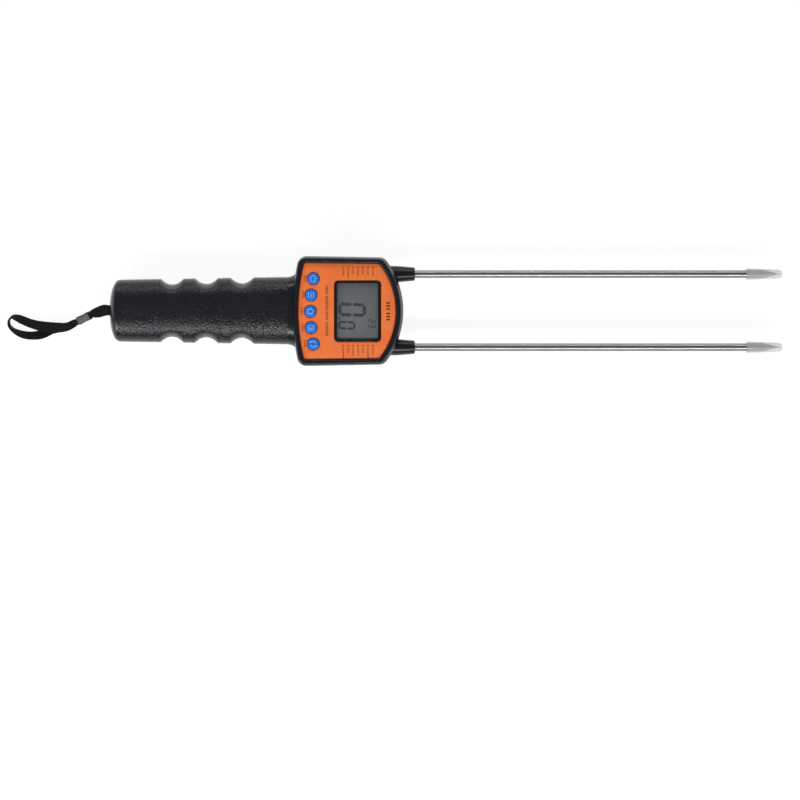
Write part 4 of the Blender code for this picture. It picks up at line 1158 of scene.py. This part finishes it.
collar_profile = [
    (COLLAR_FLANGE_BACK, BORE_RADIUS),
    (COLLAR_FLANGE_BACK, 0.0065),
    (COLLAR_FLANGE_BACK + 0.0022, 0.0065),
    (COLLAR_FLANGE_BACK + 0.0022, 0.0056),
    (-0.0340, 0.0056),
    (-0.0325, 0.00552),
    (COLLAR_END - 0.0010, 0.00464),
    (COLLAR_END - 0.0006, 0.00456),
    (COLLAR_END - 0.0002, 0.00432),
    (COLLAR_END, 0.0040),
    (COLLAR_END, BORE_RADIUS + 0.0003),
    (COLLAR_END - 0.0004, BORE_RADIUS),
]

cap_profile = [(PROBE_POINT + 2 * GAP, 0.00010), (PROBE_CONE_START + GAP, BORE_RADIUS)]
cap_profile += [(CAP_START + 0.0003, BORE_RADIUS), (CAP_START, BORE_RADIUS + 0.0002)]
cap_profile += [(CAP_START, CAP_RADIUS - 0.0002), (CAP_START + 0.0002, CAP_RADIUS)]
for step in range(9):
    angle = math.radians(11.25 * (8 - step))
    along = CAP_END - CAP_TIP_RADIUS + CAP_TIP_RADIUS * math.cos(angle)
    cap_profile.append((along, max(CAP_TIP_RADIUS * math.sin(angle), 0.00010)))

# Stainless rod, ground smooth: a satin metal whose highlights run as soft lines along its length, with a
# slight change of tone in rings from the grinding.
probe_steel, tree, shader = new_material("stainless_rod_polished", Metallic=1.0)
place_on = object_place(tree)
marks_place = add_node(tree, "ShaderNodeMapping", {"Vector": place_on, "Scale": (1.0, 0.08, 0.08)})
tool_marks = noise(tree, marks_place.outputs["Vector"], 3500.0, 3.0)
mark_gloss = remapped(tree, tool_marks, (0.26, 0.31))
tree.links.new(mark_gloss, shader.inputs["Roughness"])
rod_tone = mixed(tree, tool_marks, "97989A", "A5A6A7")
tree.links.new(rod_tone, shader.inputs["Base Color"])
mark_bump = raised(tree, tool_marks, 0.000002, 0.3)
tree.links.new(mark_bump, shader.inputs["Normal"])

# Black nylon: near black with soft highlights and a little unevenness from the mould.
collar_black, tree, shader = new_material("nylon_gloss_black", IOR=1.53, Specular_IOR_Level=0.40)
place_on = object_place(tree)
flow = noise(tree, place_on, 500.0, 3.0)
flow_gloss = remapped(tree, flow, (0.26, 0.32))
tree.links.new(flow_gloss, shader.inputs["Roughness"])
nylon_tone = mixed(tree, flow, "0B0B0E", "141418")
tree.links.new(nylon_tone, shader.inputs["Base Color"])

# Soft clear vinyl: milky, half see-through and slightly greyish, with blurred highlights.
cap_clear, tree, shader = new_material("vinyl_soft_clear", Alpha=0.42, IOR=1.5)
place_on = object_place(tree)
milk = noise(tree, place_on, 400.0)
milk_gloss = remapped(tree, milk, (0.22, 0.40))
tree.links.new(milk_gloss, shader.inputs["Roughness"])
vinyl_tone = mixed(tree, milk, "B9BCBE", "DADCDD")
tree.links.new(vinyl_tone, shader.inputs["Base Color"])

# Zinc-plated steel: a grey metal with a faint bluish mottle.
zinc_steel, tree, shader = new_material("steel_zinc_plated", Metallic=1.0)
place_on = object_place(tree)
mottle = noise(tree, place_on, 1200.0, 3.0)
zinc_gloss = remapped(tree, mottle, (0.28, 0.42))
tree.links.new(zinc_gloss, shader.inputs["Roughness"])
zinc_tone = mixed(tree, mottle, "8F9496", "B4B8BA")
tree.links.new(zinc_tone, shader.inputs["Base Color"])

for sign, side in ((1, "left"), (-1, "right")):
    axis = (sign * PROBE_Y, SPLIT_HEIGHT)
    rod = bmesh.new()
    add_turned(rod, rod_profile, axis)
    add_piece(f"{side}_ground_rod", rod, probe_steel, "meter", [f"{side}_probe"])
    collar = bmesh.new()
    add_turned(collar, collar_profile, axis, sides=56, hollow=True)
    add_piece(f"{side}_nylon_collar", collar, collar_black, "meter", [f"{side}_collar"])
    cap = bmesh.new()
    add_turned(cap, cap_profile, axis)
    add_piece(f"{side}_vinyl_cap", cap, cap_clear, f"{side}_tip_cap", [f"{side}_tip_cap"])
    nut = bmesh.new()
    nut_profile = [
        (COLLAR_FLANGE_BACK - 0.0035, NUT_SIZE - 0.0006),
        (COLLAR_FLANGE_BACK - 0.0031, NUT_SIZE),
        (COLLAR_FLANGE_BACK - GAP - 0.0004, NUT_SIZE),
        (COLLAR_FLANGE_BACK - GAP, NUT_SIZE - 0.0006),
    ]
    add_turned(nut, nut_profile, axis, sides=6)
    bore = bmesh.new()
    add_rod(bore, axis, BORE_RADIUS, COLLAR_FLANGE_BACK - 0.005, COLLAR_FLANGE_BACK + 0.001, 32, "X")
    nut = shaped(nut, [("DIFFERENCE", bore)])
    add_piece(f"{side}_hex_nut", nut, zinc_steel, "meter", [f"{side}_probe_nut"])

# ---------------------------------------------------------------- screws
# Six self-tapping screws in pockets in the back, four for the head and two for the handle. Each has a
# cross recess in its pan head.

SCREW_HEAD_RADIUS = 0.0026
SCREW_SHANK_RADIUS = 0.0013
THREAD_DEPTH = 0.00018
THREAD_PITCH = 0.0010

screw_head = [(0.0, 0.00010), (0.0, 0.0012), (0.0002, 0.0019), (0.0005, 0.0024)]
screw_head += [(0.0009, SCREW_HEAD_RADIUS)]
screw_profile = [(SCREW_SEAT - 0.0022 + along, radius) for along, radius in screw_head]
screw_profile += [(SCREW_SEAT - 0.0001, SCREW_HEAD_RADIUS), (SCREW_SEAT, SCREW_HEAD_RADIUS - 0.0001)]
screw_profile += [(SCREW_SEAT, SCREW_SHANK_RADIUS), (SCREW_SEAT + 0.0020, SCREW_SHANK_RADIUS)]
turns = int((SCREW_TIP - SCREW_SEAT - 0.0035) / THREAD_PITCH)
for turn in range(turns):
    along = SCREW_SEAT + 0.0022 + THREAD_PITCH * turn
    screw_profile += [(along, SCREW_SHANK_RADIUS - THREAD_DEPTH)]
    screw_profile += [(along + THREAD_PITCH / 2, SCREW_SHANK_RADIUS)]
screw_profile += [(SCREW_TIP - 0.0010, SCREW_SHANK_RADIUS - THREAD_DEPTH), (SCREW_TIP, 0.00020)]

screw_names = [f"head_screw_{number}" for number in (1, 2, 3, 4)]
screw_names += [f"handle_screw_{number}" for number in (1, 2)]
for name, (centre, lift) in zip(screw_names, SCREWS):
    screw = bmesh.new()
    add_turned(screw, [(along + lift, radius) for along, radius in screw_profile], centre, axis="Z", sides=28)
    top = SCREW_SEAT - 0.0022 + lift
    slots = []
    for reach in ((0.0014, 0.00028), (0.00028, 0.0014)):
        slot = bmesh.new()
        low = (centre[0] - reach[0], centre[1] - reach[1], top - 0.001)
        high = (centre[0] + reach[0], centre[1] + reach[1], top + 0.0011)
        add_box(slot, low, high)
        slots.append(("DIFFERENCE", slot))
    screw = shaped(screw, slots)
    add_piece(f"cross_recess_{name}", screw, zinc_steel, "meter", [name])

# ---------------------------------------------------------------- batteries
# Four AAA cells in two rows in the handle, seen when the cover is open. Each is a steel can in a plastic
# sleeve of two plain colours, with its raised contact at one end.

CELL_RADIUS = 0.00525
CELL_LENGTH = 0.0445
CELL_Y = 0.0060
CELL_Z = 0.0095
CELL_NUB = 0.0008
SLEEVE_SHARE = 0.72

cell_profile = [
    (0.0, 0.00010),
    (0.0, CELL_RADIUS - 0.0012),
    (0.00025, CELL_RADIUS - 0.0010),
    (0.00025, CELL_RADIUS - 0.0006),
    (0.0, CELL_RADIUS - 0.0004),
    (0.00025, CELL_RADIUS),
    (CELL_LENGTH - CELL_NUB - 0.0006, CELL_RADIUS),
    (CELL_LENGTH - CELL_NUB - 0.0001, CELL_RADIUS - 0.0004),
    (CELL_LENGTH - CELL_NUB - 0.0003, CELL_RADIUS - 0.0010),
    (CELL_LENGTH - CELL_NUB - 0.0003, 0.0021),
    (CELL_LENGTH - CELL_NUB, 0.0019),
    (CELL_LENGTH - 0.0002, 0.0019),
    (CELL_LENGTH, 0.0017),
    (CELL_LENGTH, 0.00010),
]

far_contact = BAY_X[0] + 0.0010
near_contact = BAY_X[1] - 0.0012
CELLS = {
    "battery_1": (near_contact - GAP - CELL_LENGTH, CELL_Y, 1),
    "battery_2": (near_contact - 2 * GAP - 2 * CELL_LENGTH, CELL_Y, 1),
    "battery_3": (far_contact + GAP, -CELL_Y, -1),
    "battery_4": (far_contact + 2 * GAP + CELL_LENGTH, -CELL_Y, -1),
}

# Printed plastic sleeve on a steel can: a dark part and a copper-coloured band nearer the raised contact,
# both with a low gloss; the two bare ends are metal.
battery_jacket, tree, shader = new_material("shrink_sleeve_black_and_copper", Roughness=0.32)
along_cell = add_node(tree, "ShaderNodeAttribute", attribute_name="share")
banded = computed(tree, "GREATER_THAN", along_cell.outputs["Fac"], SLEEVE_SHARE)
place_on = object_place(tree)
rubbing = noise(tree, place_on, 600.0, 3.0)
dark_part = mixed(tree, rubbing, "141517", "212226")
copper_part = mixed(tree, rubbing, "A8622F", "C07A40")
jacket_tone = mixed(tree, banded, dark_part, copper_part)
tree.links.new(jacket_tone, shader.inputs["Base Color"])
bare = add_node(tree, "ShaderNodeAttribute", attribute_name="bare")
tree.links.new(bare.outputs["Fac"], shader.inputs["Metallic"])

for name, (start, y, heading) in CELLS.items():
    cell = bmesh.new()
    nearer = 0.0 if heading == 1 else CELL_LENGTH
    placed = [(start + (nearer + along * heading), radius) for along, radius in cell_profile]
    add_turned(cell, placed, (y, CELL_Z), sides=36)
    piece = add_piece(f"sleeved_{name}", cell, battery_jacket, "meter", [name])
    share = piece.data.attributes.new("share", "FLOAT", "POINT")
    bare_metal = piece.data.attributes.new("bare", "FLOAT", "POINT")
    for vertex in piece.data.vertices:
        along = (vertex.co.x - start) / CELL_LENGTH
        share.data[vertex.index].value = along if heading == 1 else 1 - along
        reach = math.hypot(vertex.co.y - y, vertex.co.z - CELL_Z)
        bare_metal.data[vertex.index].value = 1.0 if reach < CELL_RADIUS - 0.0007 else 0.0

# ---------------------------------------------------------------- inner parts
# The board, its chip, the key mat, the display ribbon, the wires, the battery contacts and the strap bar sit
# inside the casing. They keep the frame's shapes and get a finish that shows once the meter is opened.


def finish_nodes(material, names):
    """Gives parts of the frame one material in place of their plain colour."""
    for name in names:
        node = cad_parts[name]
        node.data.materials.clear()
        node.data.materials.append(material)


def varied_material(name, colours, size_mm, roughness, bump=0.0, stretch=(1.0, 1.0, 1.0), **constants):
    """A material whose tone and roughness drift between two values over marks of the given size."""
    material, tree, shader = new_material(name, **constants)
    place = object_place(tree)
    turn = add_node(tree, "ShaderNodeMapping", {"Vector": place, "Scale": stretch})
    marks = noise(tree, turn.outputs["Vector"], 1000.0 / size_mm, 4.0)
    tone = mixed(tree, marks, *colours)
    tree.links.new(tone, shader.inputs["Base Color"])
    gloss = remapped(tree, marks, roughness)
    tree.links.new(gloss, shader.inputs["Roughness"])
    relief = raised(tree, marks, bump, 0.6)
    tree.links.new(relief, shader.inputs["Normal"])
    return material, tree, shader


# Glass-fibre board under green lacquer: glossy green with a mottle where the weave shows through.
board_green = varied_material("glass_fibre_board_green", ("0F4A2C", "1D6A3F"), 1.6, (0.22, 0.40), 0.00003)[0]
finish_nodes(board_green, ["main_board"])

# Moulded epoxy: dark grey and finely grained, with no shine.
chip_epoxy = varied_material("moulded_epoxy_dark_grey", ("17181A", "232427"), 0.12, (0.50, 0.66), 0.00002)[0]
finish_nodes(chip_epoxy, ["controller_chip"])

# Silicone rubber: soft grey with a fine matt bloom.
silicone = varied_material("silicone_rubber_grey", ("8B8E90", "9EA1A3"), 0.5, (0.55, 0.72), 0.00002)[0]
finish_nodes(silicone, ["keypad_membrane"])

# Polyimide film: amber and glossy, with darker copper tracks that run the length of the ribbon.
TRACK_SCALE = 1000.0 / (2.0 * math.pi) * 0.62
ribbon_amber, tree, shader = varied_material(
    "polyimide_film_amber", ("B96A14", "CF8426"), 0.8, (0.20, 0.34), 0.00001
)
place_on = object_place(tree)
tracks = add_node(
    tree,
    "ShaderNodeTexWave",
    {"Vector": place_on, "Scale": TRACK_SCALE, "Distortion": 0.0},
    bands_direction="Y",
)
track_mask = remapped(tree, tracks.outputs["Fac"], (0.0, 1.0), (0.45, 0.6))
film_tone = shader.inputs["Base Color"].links[0].from_socket
track_tone = mixed(tree, track_mask, film_tone, "7A3D10")
tree.links.new(track_tone, shader.inputs["Base Color"])
finish_nodes(ribbon_amber, ["lcd_ribbon"])

# Vinyl insulation on stranded wire: smooth, with the lay of the strands faintly raised.
wire_grey = varied_material("vinyl_insulation_grey", ("6E7173", "7F8284"), 0.9, (0.34, 0.46), 0.00003)[0]
finish_nodes(wire_grey, ["left_probe_lead", "right_probe_lead"])
wire_red = varied_material("vinyl_insulation_red", ("A31818", "BA2620"), 0.9, (0.34, 0.46), 0.00003)[0]
finish_nodes(wire_red, ["red_battery_wire"])
wire_black = varied_material("vinyl_insulation_black", ("121213", "1E1E20"), 0.9, (0.34, 0.46), 0.00003)[0]
finish_nodes(wire_black, ["black_battery_wire"])

# Nickel-plated spring steel: a warm bright metal with fine drawing lines.
contact_names = ["bridge_contact", "positive_contact", "negative_contact", "bridge_spring", "negative_spring"]
contact_steel = varied_material(
    "spring_steel_nickel_plated",
    ("A9A59C", "C9C5BC"),
    0.35,
    (0.20, 0.36),
    0.00001,
    (1.0, 1.0, 0.15),
    Metallic=1.0,
)[0]
finish_nodes(contact_steel, contact_names)

# The strap bar is cut from the same kind of rod as the probes.
finish_nodes(probe_steel, ["strap_bar"])

# ---------------------------------------------------------------- studio
# A plain pale floor under the meter and soft light from long, narrow panels above it on both sides.

scene = bpy.context.scene
scene.view_settings.view_transform = "Standard"
world = bpy.data.worlds.new("studio")
scene.world = world
world.use_nodes = True
background = world.node_tree.nodes["Background"]
background.inputs["Color"].default_value = linear("FFFFFF")
background.inputs["Strength"].default_value = 0.20


def add_light(name, place, target, size, power):
    """A rectangular soft light aimed at a point, with its first side along the meter."""
    light = bpy.data.lights.new(name, "AREA")
    light.shape = "RECTANGLE"
    light.size, light.size_y = size
    light.energy = power
    lamp = bpy.data.objects.new(name, light)
    lamp.location = place
    toward = (Vector(target) - Vector(place)).normalized()
    up = toward.cross(Vector((1.0, 0.0, 0.0))).normalized()
    side = up.cross(toward)
    lamp.matrix_world = Matrix.Translation(place) @ Matrix((side, up, -toward)).transposed().to_4x4()
    scene.collection.objects.link(lamp)


add_light("front_panel", (0.0, -0.86, 0.98), (0.0, 0.0, 0.02), (2.6, 0.10), 17.0)
add_light("back_panel", (0.0, 1.16, 0.58), (0.0, 0.0, 0.02), (2.6, 0.08), 7.5)
add_light("end_panel", (-1.10, -0.60, 0.62), (-0.1, 0.0, 0.02), (0.5, 0.5), 4.0)

floor_mesh = bmesh.new()
bmesh.ops.create_grid(floor_mesh, x_segments=1, y_segments=1, size=1.5)
bmesh.ops.translate(floor_mesh, verts=floor_mesh.verts, vec=(0.0, 0.0, -0.0002))
mesh = bpy.data.meshes.new("floor")
floor_mesh.to_mesh(mesh)
floor_mesh.free()
floor = bpy.data.objects.new("floor", mesh)
scene.collection.objects.link(floor)
pale, tree, shader = new_material("matt_white_paper", Roughness=0.9)
shader.inputs["Base Color"].default_value = linear("787878")
shader.inputs["Emission Color"].default_value = linear("FFFFFF")
shader.inputs["Emission Strength"].default_value = 0.90
mesh.materials.append(pale)
